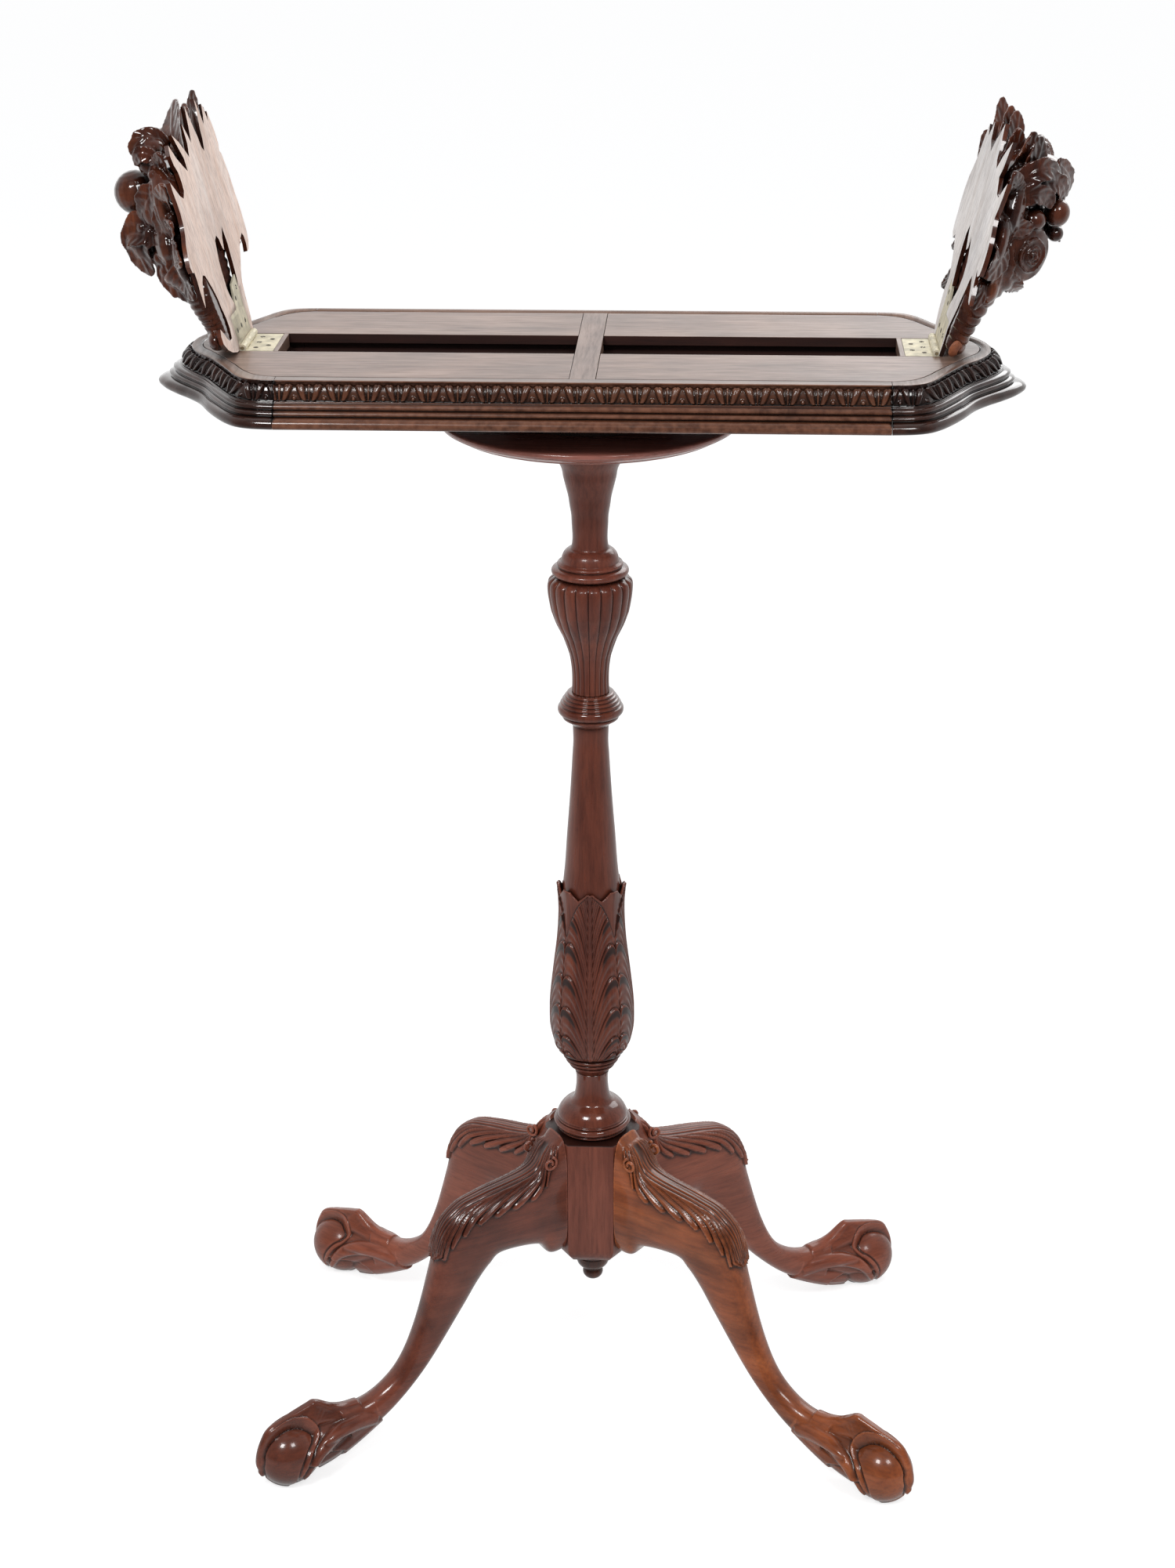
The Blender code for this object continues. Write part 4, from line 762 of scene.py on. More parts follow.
def make_foot_and_disc():
    profile = curve_points([
        (0.0117, 0.2500), (0.0111, 0.2462), (0.0110, 0.2425), (0.0112, 0.2380), (0.0118, 0.2335),
        (0.0127, 0.2300), (0.0138, 0.2278), (0.0150, 0.2266), (0.0172, 0.2256), (0.0195, 0.2242),
        (0.0215, 0.2222), (0.0230, 0.2200), (0.0240, 0.2178), (0.0243, 0.2165),
    ])
    profile += [(0.0240, 0.2161), (0.0240, 0.2157)] + round_bead(0.0243, 0.2156, 0.2146, 0.0008, 7)
    profile += [(0.0241, 0.2143)] + round_bead(0.0243, 0.2141, 0.2092, 0.0024, 13)
    profile += [(0.0240, 0.2089), (0.0240, 0.2083)] + round_bead(0.0236, 0.2081, 0.2063, 0.0009, 7)
    profile += [(0.0232, 0.2058), (0.0226, 0.2048), (0.0100, 0.2048)]
    turned("pillar_foot_turned", profile, FOOT_RED, ("pillar_foot",))

    profile = [(0.0001, 0.7160), (0.0925, 0.7160), (0.0943, 0.7156)]
    profile += round_bead(0.0944, 0.7155, 0.7128, 0.0006, 7)
    profile += [(0.0938, 0.7124), (0.0938, 0.7119), (0.0930, 0.7117)]
    profile += curve_points([(0.0925, 0.7112), (0.0905, 0.7100), (0.0882, 0.7092), (0.0872, 0.7086)], 4)
    profile += [(0.0866, 0.7084), (0.0866, 0.7079)]
    profile += curve_points([
        (0.0855, 0.7075), (0.0760, 0.7060), (0.0600, 0.7048), (0.0420, 0.7036), (0.0290, 0.7026),
    ], 4)
    profile += [(0.0110, 0.7025)]
    turned("turntable_turned", profile, DISC_RED, ("turntable_disc",), 200)

    profile = [(0.0060, 0.1046), (0.0112, 0.1046)] + round_bead(0.0112, 0.1045, 0.1012, 0.0012)
    profile += curve_points([
        (0.0118, 0.1008), (0.0117, 0.0975), (0.0108, 0.0945), (0.0092, 0.0925), (0.0078, 0.0916),
    ], 4)
    profile += [(0.0068, 0.0914)] + round_bead(0.0066, 0.0912, 0.0901, 0.0006, 5) + [(0.0056, 0.0899)]
    drop = np.linspace(0.85, math.pi - 0.02, 12)
    profile += [(0.0072 * math.sin(a), 0.0868 + 0.0060 * math.cos(a)) for a in drop]
    turned("finial_turned", profile, DARK_TURNED, ("drop_finial",), 64)


# Top: plan shares run from the seam to the nose and down from the half depth; section shares are
# (from the lip to the roll, height)

SEAM, SEAM_GAP = 0.1830, 0.0003
TOP_LOW, BOARD_LOW, TOP_HIGH = 0.7335, 0.7540, 0.7600
NOSES = (0.2418, 0.2480, 0.2712)
HALF_DEPTHS = (0.0861, 0.0945, 0.1100)
BAND_STEPS = 6
INNER_PLAN = [
    (0.000, 1.000), (0.176, 0.964), (0.295, 0.900), (0.398, 0.801), (0.500, 0.668), (0.611, 0.534),
    (0.730, 0.401), (0.841, 0.279), (0.932, 0.192), (0.983, 0.099), (1.000, 0.000),
]
LIP_PLAN = [
    (0.000, 1.000), (0.190, 0.984), (0.313, 0.937), (0.406, 0.847), (0.494, 0.725), (0.599, 0.584),
    (0.722, 0.436), (0.843, 0.333), (0.927, 0.228), (0.985, 0.111), (1.000, 0.000),
]
ROLL_PLAN = [
    (0.000, 1.000), (0.151, 0.986), (0.259, 0.950), (0.344, 0.882), (0.424, 0.786), (0.509, 0.659),
    (0.606, 0.486), (0.714, 0.359), (0.827, 0.255), (0.935, 0.136), (1.000, 0.000),
]
SECTION_TOP = [
    (-0.03, 1.000), (-0.01, 0.998), (0.0, 0.990), (0.0, 0.958), (-0.02, 0.950), (-0.02, 0.944),
]
SECTION_BAND = [
    (0.03, 0.940), (0.13, 0.905), (0.20, 0.85), (0.26, 0.78), (0.30, 0.69), (0.325, 0.61), (0.33, 0.575),
]
SECTION_LOW = [
    (0.355, 0.568), (0.375, 0.560), (0.380, 0.545), (0.385, 0.528), (0.42, 0.524), (0.50, 0.512),
    (0.555, 0.48), (0.565, 0.445), (0.54, 0.412), (0.49, 0.395), (0.485, 0.385), (0.53, 0.380),
    (0.62, 0.366), (0.675, 0.335), (0.685, 0.305), (0.66, 0.275), (0.61, 0.262), (0.605, 0.252),
    (0.68, 0.246), (0.80, 0.236), (0.90, 0.207), (0.965, 0.165), (1.000, 0.115), (0.990, 0.060),
    (0.950, 0.025), (0.900, 0.004), (0.86, 0.0),
]


def plan_curve(shares, nose, half_depth, steps):
    """One end's plan curve, from the front seam round the nose to the rear seam, for the right end."""
    quarter = [(SEAM + a * (nose - SEAM), b * half_depth) for a, b in shares]
    whole = [(x, -y) for x, y in quarter] + quarter[-2::-1]
    return rows_between(whole, steps)


def leaf_band(along, down):
    """Relief of pairs of petals with a berry below and a tongue between pairs; along counts the pairs."""
    w = np.abs((along % 1) - 0.5) * 2
    middle = 0.38 + 0.40 * down**1.7
    half = 0.33 - 0.19 * down
    petal = half_round((w - middle) / half) * smooth_step(down, 0.02, 0.12)
    petal *= np.sqrt(held((0.97 - down) / 0.10)) * (1 - 0.25 * bell(w, middle, 0.05) * (1 - down))
    berry = np.sqrt(held(1 - (w / 0.15) ** 2 - ((down - 0.80) / 0.15) ** 2)) * 0.7
    wide = 0.055 + 0.10 * smooth_step(0.22 - down, 0, 0.2)
    tongue = half_round((1 - w) / wide) * 0.7 * smooth_step(down, 0.0, 0.1)
    tongue *= smooth_step(1 - down, 0.0, 0.06)
    return np.maximum(np.maximum(petal, berry), tongue)


def moulding_grid(inner, lip, roll):
    """The moulding's section swept along three plan curves; also the first and last carved column."""
    section = SECTION_TOP + [tuple(p) for p in rows_between(SECTION_BAND, BAND_STEPS)] + SECTION_LOW
    columns = [np.column_stack([inner, np.full(len(inner), TOP_HIGH)])]
    for a, h in section:
        plane = lip + a * (roll - lip)
        columns.append(np.column_stack([plane, np.full(len(plane), TOP_LOW + h * (TOP_HIGH - TOP_LOW))]))
    columns.append(np.column_stack([inner, np.full(len(inner), TOP_LOW)]))
    first = 1 + len(SECTION_TOP)
    return np.stack(columns, 1), first, first + BAND_STEPS * (len(SECTION_BAND) - 1) + 1


def carve_band(grid, first, last, along, depth):
    down = np.linspace(0, 1, last - first)[None, :]
    relief = leaf_band(along, np.broadcast_to(down, (len(grid), last - first)))
    part = grid[:, first - 1:last + 1]
    normal = normals_of(part)[:, 1:-1]
    outward = part[:, 1:-1] * (1, 1, 0)
    flip = np.sign((normal * outward).sum(-1, keepdims=True) + 1e-9)
    grid[:, first:last] += normal * flip * ((relief - 0.75) * depth)[..., None]


def top_like_boards(mesh, columns, material):
    """The moulding's flat upper face, in the grid's first columns, has the boards' wood."""
    mesh.materials.append(material)
    for polygon in mesh.polygons:
        polygon.material_index = int(polygon.index % columns < 3 and polygon.normal.z > 0.7)


def add_moulding(name, grid, dark, material, flat_top):
    """The piece of a carved grid; dark tells, for distances from the pillar along x, what is darkened."""
    mesh = mesh_of(name + "_carved", grid_shape(grid))
    set_cavity(mesh, 16, 0.0006, dark(np.abs(coordinates(mesh)[:, 0])))
    piece(name + "_carved", mesh, material, "top", (name,))
    top_like_boards(mesh, grid.shape[1], flat_top)


def make_mouldings():
    step, pair, end_pair = 0.00045, 0.0177, 0.0150
    x = np.arange(-SEAM + SEAM_GAP, SEAM - SEAM_GAP + step / 2, step)
    for row, name in ((-1, "front_moulding"), (1, "rear_moulding")):
        lines = [np.column_stack([x, np.full_like(x, row * y)]) for y in HALF_DEPTHS]
        grid, first, last = moulding_grid(*lines)
        carve_band(grid, first, last, (x / pair + 0.13)[:, None], 0.0022)
        add_moulding(
            name, grid, lambda far: smooth_step(far, SEAM - 0.0012, SEAM - 0.0008), RED_BAND,
            TOP_ALONG,
        )
    plans = zip((INNER_PLAN, LIP_PLAN, ROLL_PLAN), NOSES, HALF_DEPTHS)
    curves = [plan_curve(*plan, 34) for plan in plans]
    length = lengths_along(curves[1])
    mirror = np.minimum(length, length[-1] - length)[:, None]
    for side, name in ((-1, "left_end_moulding"), (1, "right_end_moulding")):
        grid, first, last = moulding_grid(*curves)
        lean = 0.65 * smooth_step(mirror, 0.012, 0.035) * np.linspace(0, 1, last - first)[None, :]
        carve_band(grid, first, last, mirror / end_pair + 0.2 - lean, 0.0024)
        grid[..., 0] *= side
        add_moulding(
            name, grid, lambda far: smooth_step(-far, -SEAM - 0.0010, -SEAM - 0.0005), DARK_BAND,
            TOP_ACROSS,
        )


def flat_board(name, outline, low, high):
    """A board cut to an outline."""
    made = bmesh.new()
    face = made.faces.new([made.verts.new((x, y, low)) for x, y in outline])
    lifted = bmesh.ops.extrude_face_region(made, geom=[face])["geom"]
    upper = [v for v in lifted if isinstance(v, bmesh.types.BMVert)]
    bmesh.ops.translate(made, vec=(0, 0, high - low), verts=upper)
    bmesh.ops.recalc_face_normals(made, faces=made.faces)
    mesh = bpy.data.meshes.new(name)
    made.to_mesh(mesh)
    made.free()
    return mesh


def ease(made):
    bevel = made.modifiers.new("eased", "BEVEL")
    bevel.width = 0.0003
    bevel.segments = 2
    bevel.limit_method = "ANGLE"
    bevel.angle_limit = math.radians(50)


def make_boards():
    """Each half of the top shows as one board, with its round end and its slot."""
    gap, slot, slot_end, band = 0.0006, 0.0233, 0.2165, 0.0080
    edge = HALF_DEPTHS[0] - gap
    nose = plan_curve(INNER_PLAN, NOSES[0], HALF_DEPTHS[0], 6)
    inward = []
    for i, p in enumerate(nose):
        along = nose[min(i + 1, len(nose) - 1)] - nose[max(i - 1, 0)]
        away = np.array([along[1], -along[0]]) / np.linalg.norm(along)
        inward.append(p - away * gap)
    outline = [(band, -edge)] + [tuple(p) for p in inward[1:-1]] + [(band, edge)]
    outline += [(band, slot), (slot_end, slot), (slot_end, -slot), (band, -slot)]
    for side, name in ((-1, "left"), (1, "right")):
        mesh = flat_board(name + "_board", [(side * x, y) for x, y in outline], BOARD_LOW, TOP_HIGH)
        made = piece(
            name + "_board", mesh, TOP_ALONG, "top",
            (name + "_front_panel", name + "_rear_panel", name + "_end_clamp"), 30,
        )
        # The boards' edges and the slot's walls take the near-black inner wood, painted shade for the slot
        # and the gaps.
        mesh.materials.append(INNER)
        for polygon in mesh.polygons:
            polygon.material_index = int(abs(polygon.normal.z) < 0.5)
        ease(made)


# Legs

def make_block():
    """The eight-sided block with a softly rounded rim, a flat top and a rounded lower edge."""
    turn = math.radians(LEG_TURN)
    seat = np.array([math.cos(turn), math.sin(turn)]) * 0.0292
    along = np.array([-math.sin(turn), math.cos(turn)]) * 0.0155
    corners = [seat - along, seat + along]
    corners += [c * (-1, 1) for c in corners[::-1]]
    corners += [-c for c in corners]
    corners = np.array(corners)
    rows = [(0.20, 0.1050), (0.44, 0.1050), (0.60, 0.1065), (0.80, 0.1097), (0.94, 0.1148), (1.0, 0.1198)]
    rows += [(1.0, 0.2041), (0.994, 0.2045), (0.985, 0.2047), (0.78, 0.2047), (0.30, 0.2047)]
    points = np.array([[(x * scale, y * scale, z) for x, y in corners] for scale, z in rows])
    mesh = mesh_of("block_faces", grid_shape(points))
    piece("block_faces", mesh, BLOCK_RED, "base", ("base_block",), 30)


# A leg stands along x and is turned into its place at the end. Its rows are the upper and the lower edge,
# as shares of reach and knee height, the width's share, and how square the section is
LEG_REACH, KNEE, LEG_WIDTH = 0.2410, 0.2130, 0.0310
LEG_ROWS = [
    (0.122, 0.980, 0.122, 0.555, 1.00, 1.00), (0.165, 0.930, 0.165, 0.553, 1.00, 0.90),
    (0.215, 0.865, 0.205, 0.598, 0.97, 0.70), (0.373, 0.832, 0.320, 0.610, 0.92, 0.55),
    (0.448, 0.808, 0.361, 0.577, 0.89, 0.50), (0.504, 0.745, 0.400, 0.525, 0.85, 0.45),
    (0.537, 0.610, 0.446, 0.449, 0.77, 0.35), (0.590, 0.420, 0.539, 0.306, 0.67, 0.25),
    (0.645, 0.296, 0.602, 0.227, 0.63, 0.20), (0.712, 0.230, 0.672, 0.155, 0.61, 0.20),
    (0.786, 0.203, 0.743, 0.101, 0.64, 0.20), (0.855, 0.216, 0.813, 0.064, 0.74, 0.20),
    (0.912, 0.248, 0.880, 0.048, 0.86, 0.20), (0.965, 0.226, 0.965, 0.065, 0.86, 0.20),
    (1.010, 0.185, 1.010, 0.095, 0.70, 0.20),
]


def leg_grid(rows, sides):
    angle = circle(sides)
    grid = np.empty((len(rows), sides, 3))
    for i, (ux, uz, lx, lz, width, square) in enumerate(rows):
        power = 1 - 0.5 * square
        c, s = np.sin(angle), np.cos(angle)
        across = np.sign(c) * np.abs(c) ** power * width * LEG_WIDTH / 2
        up = np.sign(s) * np.abs(s) ** power
        upper = np.array([ux * LEG_REACH, uz * KNEE])
        lower = np.array([lx * LEG_REACH, lz * KNEE])
        middle, half = (upper + lower) / 2, (upper - lower) / 2
        grid[i, :, 0] = middle[0] + half[0] * up
        grid[i, :, 1] = across
        grid[i, :, 2] = middle[1] + half[1] * up
    return grid


def tube(points, radii, sides=14, steps=5):
    path = rows_between([(*p, r) for p, r in zip(points, radii)], steps)
    ring = rings_along(path[:, :3], circle(sides), (0.13, 0.31, 0.94))
    return grid_shape(path[:, None, :3] + ring * path[:, None, 3:])


def blob(centre, radii, turn=None, sides=20, rings=12):
    """An egg-shaped form; turn is a rotation matrix."""
    theta = np.linspace(0.02, math.pi - 0.02, rings)[:, None]
    points = polar(np.sin(theta), circle(sides), np.cos(theta)) * np.array(radii, float)
    if turn is not None:
        points = points @ np.array(turn, float).T
    verts, faces = grid_shape(points)
    return verts + np.array(centre, float), faces


def loop_between(points, steps):
    """A closed Catmull-Rom curve through points."""
    points = np.array(points, float)
    whole = rows_between(np.vstack([points[-1:], points, points[:2]]), steps)
    return whole[steps:-steps - 1]


def depth_inside(places, loop):
    """How deep each place of a plane lies inside a closed loop; negative outside."""
    start, end = loop, np.roll(loop, -1, 0)
    edge = end - start
    nearest = np.full(len(places), np.inf)
    inside = np.zeros(len(places), bool)
    for a, b, d in zip(start, end, edge):
        rel = places - a
        t = np.clip(rel @ d / (d @ d + 1e-18), 0, 1)
        nearest = np.minimum(nearest, np.linalg.norm(rel - t[:, None] * d, axis=1))
        crosses = (a[1] > places[:, 1]) != (b[1] > places[:, 1])
        with np.errstate(divide="ignore", invalid="ignore"):
            at = a[0] + (places[:, 1] - a[1]) * d[0] / d[1]
        inside ^= crosses & (places[:, 0] < at)
    return np.where(inside, nearest, -nearest)


def knee_relief(across, t):
    """Acanthus on the knee: long veins leave the ridge and fan out to rounded fingers with dark gaps."""
    fingers = 9
    inward = 1 - held(across)
    place = (t + 0.18 * inward + 0.60 * inward**2.2) * fingers + 0.12 * np.sin(7 * t)
    u = place % 1
    finger = half_round(2 * u - 1) * (1 - 0.35 * u)
    veins = (0.5 - 0.5 * np.cos(2 * math.pi * 3 * u)) * smooth_step(0.95 - across, 0.0, 0.2)
    relief = finger * (0.2 + 0.8 * smooth_step(across, 0.3, 0.9)) + 0.26 * veins
    near = 1 - smooth_step(across, 0.22, 0.42)
    relief = relief * (1 - near) + near * 0.34 * (0.5 - 0.5 * np.cos(2 * math.pi * across / 0.13))
    between = np.minimum(u, 1 - u)
    gap = bell(between, 0, 0.13) * smooth_step(across, 0.55, 0.85)
    edge = 1 - 0.27 * (1 - np.sqrt(held(between / 0.5)))
    return relief - 0.7 * gap, edge


# The foot: outlines and ridge in side view as (x, z), the ridge with its radius; the window's rim round the
# ball in unit-sphere coordinates; the arch from the ball's middle; hollows with their depth
BALL = np.array([0.2415, 0, 0.0200])
BALL_RADII = np.array([0.0225, 0.0200, 0.0218])
FOOT_OUTLINE = [
    (0.1660, 0.0530), (0.1760, 0.0478), (0.1870, 0.0456), (0.2000, 0.0460), (0.2110, 0.0500),
    (0.2195, 0.0552), (0.2222, 0.0562), (0.2255, 0.0553), (0.2420, 0.0506), (0.2570, 0.0452),
    (0.2618, 0.0390), (0.2652, 0.0300), (0.2668, 0.0205), (0.2655, 0.0125), (0.2615, 0.0080),
    (0.2560, 0.0100), (0.2400, 0.0200), (0.2000, 0.0250), (0.1660, 0.0330),
]
FOOT_RIDGE = [
    (0.1900, 0.0370, 0.0085), (0.2000, 0.0385, 0.0075), (0.2110, 0.0440, 0.0056),
    (0.2215, 0.0524, 0.0040), (0.2260, 0.0520, 0.0038), (0.2420, 0.0474, 0.0036),
    (0.2545, 0.0424, 0.0036), (0.2590, 0.0362, 0.0036), (0.2622, 0.0282, 0.0036),
    (0.2636, 0.0205, 0.0034), (0.2626, 0.0150, 0.0030),
]
WINDOW_VIEW = np.array([0.317, 0.744, 0.588])
WINDOW = [
    (1.02, 0.14, -0.30), (0.99, 0.14, 0.10), (0.93, 0.10, 0.45), (0.62, 0.06, 0.88), (0.04, 0.02, 1.12),
    (-0.60, -0.12, 0.92), (-0.84, 0.16, 0.66), (-0.70, 0.50, 0.56), (-0.42, 0.80, 0.42),
    (-0.22, 0.95, 0.18), (-0.06, 0.98, -0.16), (0.04, 0.93, -0.50), (0.14, 0.60, -1.15),
    (0.80, 0.25, -1.05),
]
ARCH = [
    (-0.0042, -0.0010), (-0.0140, -0.0022), (-0.0290, -0.0030), (-0.0380, -0.0080), (-0.0300, -0.0240),
    (0.0050, -0.0240), (0.0034, -0.0140), (0.0002, -0.0075),
]
HOLLOWS = [((0.2215, 0.0395), (0.1960, 0.0365), 0.0014), ((0.2225, 0.0300), (0.1990, 0.0290), 0.0012)]
SIDE_TOE = [
    (0.180, 0.0040, 0.0310, 0.0070), (0.198, 0.0085, 0.0335, 0.0062), (0.213, 0.0130, 0.0320, 0.0054),
    (0.2225, 0.0160, 0.0280, 0.0046), (0.2290, 0.0182, 0.0225, 0.0036), (0.2335, 0.0192, 0.0165, 0.0028),
    (0.2370, 0.0190, 0.0110, 0.0022), (0.2390, 0.0176, 0.0070, 0.0012),
]
PAD = [
    (0.176, 0, 0.0310, 0.0090), (0.195, 0, 0.0215, 0.0100), (0.212, 0, 0.0150, 0.0110),
    (0.225, 0, 0.0100, 0.0095),
]
FRONT_CLAW = [(0.2625, 0, 0.0150, 0.0030), (0.2630, 0, 0.0115, 0.0025), (0.2610, 0, 0.0095, 0.0014)]


def tube_of(rows, side=1):
    """A tube through rows of (x, y, z, radius); side mirrors it."""
    return tube([(x, side * y, z) for x, y, z, _ in rows], [r for *_, r in rows])


def foot_shapes():
    """The ankle, the claw's body spread like a tent over the ball, side toes, pad and front claw."""
    grid = leg_grid(rows_between(LEG_ROWS[:12], 8)[62:], 48)
    shrink = 0.0009 * (1 - smooth_step(grid[..., :1], 0.168, 0.180))
    grid = grid - unit(grid - grid.mean(1, keepdims=True)) * shrink
    shapes = [grid_shape(grid), blob(BALL, BALL_RADII + 0.0010, sides=48, rings=32)]
    for x, z, r in rows_between(FOOT_RIDGE, 4):
        shapes.append(tube([(x, 0, z), tuple(BALL)], [r, 0.0195], sides=28))
    shapes.append(tube_of([(x, 0, z, r) for x, z, r in FOOT_RIDGE]))
    shapes += [tube_of(SIDE_TOE, -1), tube_of(SIDE_TOE, 1), tube_of(PAD), tube_of(FRONT_CLAW)]
    return shapes


def make_foot():
    foot = fused("foot", foot_shapes(), 0.00062, 3)
    co = coordinates(foot)
    pairs = edge_pairs(foot)

    # The ridge is cut flat along the foot's outline
    over = -depth_inside(co[:, [0, 2]], loop_between(FOOT_OUTLINE, 5))
    floor_line = np.interp(co[:, 0], [0.16, 0.20, 0.245, 0.262, 0.27], [0.040, 0.035, 0.034, 0.009, 0.005])
    cut_here = (co[:, 2] > floor_line) & (over > 0) & (co[:, 0] > 0.186)
    co[:, [0, 2]] -= unit(co[:, [0, 2]] - BALL[[0, 2]]) * np.where(cut_here, over, 0)[:, None]

    # Windows that show the ball on both sides, each with a steep wall, a groove and a bead behind it
    rel = (co - BALL) / BALL_RADII
    rel[:, 1] = np.abs(rel[:, 1])
    view = unit(WINDOW_VIEW)
    level = unit(np.cross(view, (0, 0, 1.0)))
    steep = np.cross(level, view)
    loop = loop_between([(np.dot(p, level), np.dot(p, steep)) for p in np.array(WINDOW)], 6)
    inside = depth_inside(np.stack([rel @ level, rel @ steep], 1), loop) * BALL_RADII[0]
    radius = np.linalg.norm(rel, axis=1)
    facing = smooth_step(rel @ view / radius, -0.10, 0.05)
    sunk = smooth_step(inside, -0.0001, 0.0009) * facing
    change = (BALL_RADII[0] - radius * BALL_RADII[0]) * sunk
    change -= 0.0010 * bell(inside, 0.0012, 0.0005) * facing
    rear = smooth_step(-rel[:, 0] / radius, -0.75, -0.15) * facing * smooth_step(rel[:, 2], -0.8, -0.2)
    bead = half_round((inside + 0.0010) / 0.0009)
    change += (0.0008 * bead - 0.0005 * bell(inside, -0.0026, 0.0006)) * rear
    co = BALL + (co - BALL) * (1 + change / (radius * BALL_RADII[0]))[:, None]

    # The pad behind each side toe lies deeper, under an arch, and two hollows run up the ankle
    arch = depth_inside((co - BALL)[:, [0, 2]], loop_between(ARCH, 5))
    deep = 0.0026 * smooth_step(arch, 0, 0.0010) * smooth_step(np.abs(co[:, 1]), 0.002, 0.007)
    co[:, 1] -= np.sign(co[:, 1]) * deep
    for (x0, z0), (x1, z1), depth in HOLLOWS:
        run = np.array([x1 - x0, z1 - z0])
        place = co[:, [0, 2]] - np.array([x0, z0])
        t = held(place @ run / (run @ run))
        gap = np.linalg.norm(place - t[:, None] * run, axis=1)
        dip = depth * bell(gap, 0, 0.0022) * (1 - smooth_step(t, 0.35, 1.0))
        co[:, 1] -= np.sign(co[:, 1]) * dip * smooth_step(np.abs(co[:, 1]), 0.003, 0.007)
    co = relaxed(co, pairs, 1, 0.4)
    co[:, 2] = np.maximum(co[:, 2], 0.0)
    return co, [list(p.vertices) for p in foot.polygons]


def make_leg_mesh():
    seat_x, leaf_start, leaf_end, foot_start = 0.0295, 0.034, 0.1275, 0.184
    rows = rows_between(LEG_ROWS, 30)
    grid = leg_grid(rows, 216)
    grid[0, :, 0] = seat_x
    upper = grid[:, 0]
    length = lengths_along(upper)
    start, end = np.interp((leaf_start, leaf_end), upper[:, 0], length)
    ring_step = np.linalg.norm(np.diff(np.concatenate([grid, grid[:, :1]], 1), axis=1), axis=2)
    around = np.concatenate([np.zeros((len(grid), 1)), np.cumsum(ring_step, 1)[:, :-1]], 1)
    around = np.minimum(around, ring_step.sum(1)[:, None] - around)
    t = (length[:, None] - start) / (end - start)
    border = np.interp(
        t[:, 0], [0, 0.06, 0.2, 0.45, 0.75, 0.93, 1.0],
        [0.0130, 0.0190, 0.0225, 0.0225, 0.0200, 0.0125, 0.001],
    )
    across = around / border[:, None]
    relief, edge = knee_relief(across, t)
    on_leaf = smooth_step(edge - across, -0.01, 0.035) * smooth_step(t, -0.005, 0.03)
    on_leaf = on_leaf * smooth_step(1.02 - t, 0, 0.03)
    normal = normals_of(grid, wrap=True)
    outward = grid - grid.mean(1, keepdims=True)
    normal *= np.sign((normal * outward).sum(-1, keepdims=True) + 1e-12)
    sink = 0.0012 * smooth_step(grid[..., 0], 0.178, 0.188)
    grid = grid + normal * ((0.0007 + 0.0024 * relief) * on_leaf - sink)[..., None]
    cut_row = int(np.argmax(rows[:, 0] * LEG_REACH > foot_start))
    shapes = [grid_shape(grid[:cut_row]), make_foot()]
    turns = np.linspace(0, 2.6 * math.pi, 26)
    curl = 0.0052 - 0.0038 * turns / turns[-1]
    for side in (-1, 1):
        path = [
            (0.0425 + c * math.cos(a + 2.0), side * 0.0148, 0.1940 + c * math.sin(a + 2.0))
            for a, c in zip(turns, curl)
        ]
        shapes.append(tube(path, [0.0011] * len(path), sides=10, steps=2))
    mesh = mesh_of("leg_carved", joined(shapes))
    leaf_share = np.zeros(len(mesh.vertices))
    leaf_share[:cut_row * grid.shape[1]] = on_leaf[:cut_row].ravel()
    foot_share = smooth_step(coordinates(mesh)[:, 0], 0.195, 0.225)
    set_cavity(mesh, 18, 0.0006, 0.22 * leaf_share + 0.14 * foot_share)
    return mesh


def make_legs():
    mesh = make_leg_mesh()
    for name, angle, material in (
        ("rear_right", LEG_TURN, LEG_REAR), ("rear_left", 180 - LEG_TURN, LEG_REAR_TURNED),
        ("front_left", 180 + LEG_TURN, LEG_RED), ("front_right", -LEG_TURN, LEG_ORANGE),
    ):
        own = mesh.copy()
        own.transform(Matrix.Rotation(math.radians(angle), 4, "Z"))
        piece(name + "_leg", own, material, "base", ("leg_" + name,))


# Bookends: points are (out of the flat back, towards the rear, up the board), in millimetres

MM = 1000
LEAN = math.radians(14)
HINGE_X, HINGE_Z = 0.2135, 0.7613
FACE_OUT = 0.0013
BOARD = 2.6


def on_board(points, side):
    p = np.asarray(points, float) / MM
    out, back, up = p[..., 0] + FACE_OUT, p[..., 1], p[..., 2]
    x = side * (HINGE_X + out * math.cos(LEAN) + up * math.sin(LEAN))
    z = HINGE_Z - out * math.sin(LEAN) + up * math.cos(LEAN)
    return np.stack([x, back, z], -1)


def off_board(points, side):
    """The way back: how far points lie out from the flat back and up the board, in metres."""
    along, rise = side * points[:, 0] - HINGE_X, points[:, 2] - HINGE_Z
    out = along * math.cos(LEAN) - rise * math.sin(LEAN) - FACE_OUT
    return out, along * math.sin(LEAN) + rise * math.cos(LEAN)


def towards_books(side):
    return on_board((-MM, 0, 0), side) - on_board((0, 0, 0), side)


def frame_of(facing, above=(0, 0, 1)):
    """A rotation whose columns are two side directions and the facing direction."""
    w = np.array(facing, float)
    w /= np.linalg.norm(w)
    u = np.cross(np.array(above, float), w)
    if np.linalg.norm(u) < 1e-6:
        u = np.cross(np.array((0.0, 1.0, 0.0)), w)
    u /= np.linalg.norm(u)
    return np.column_stack([u, np.cross(w, u), w])


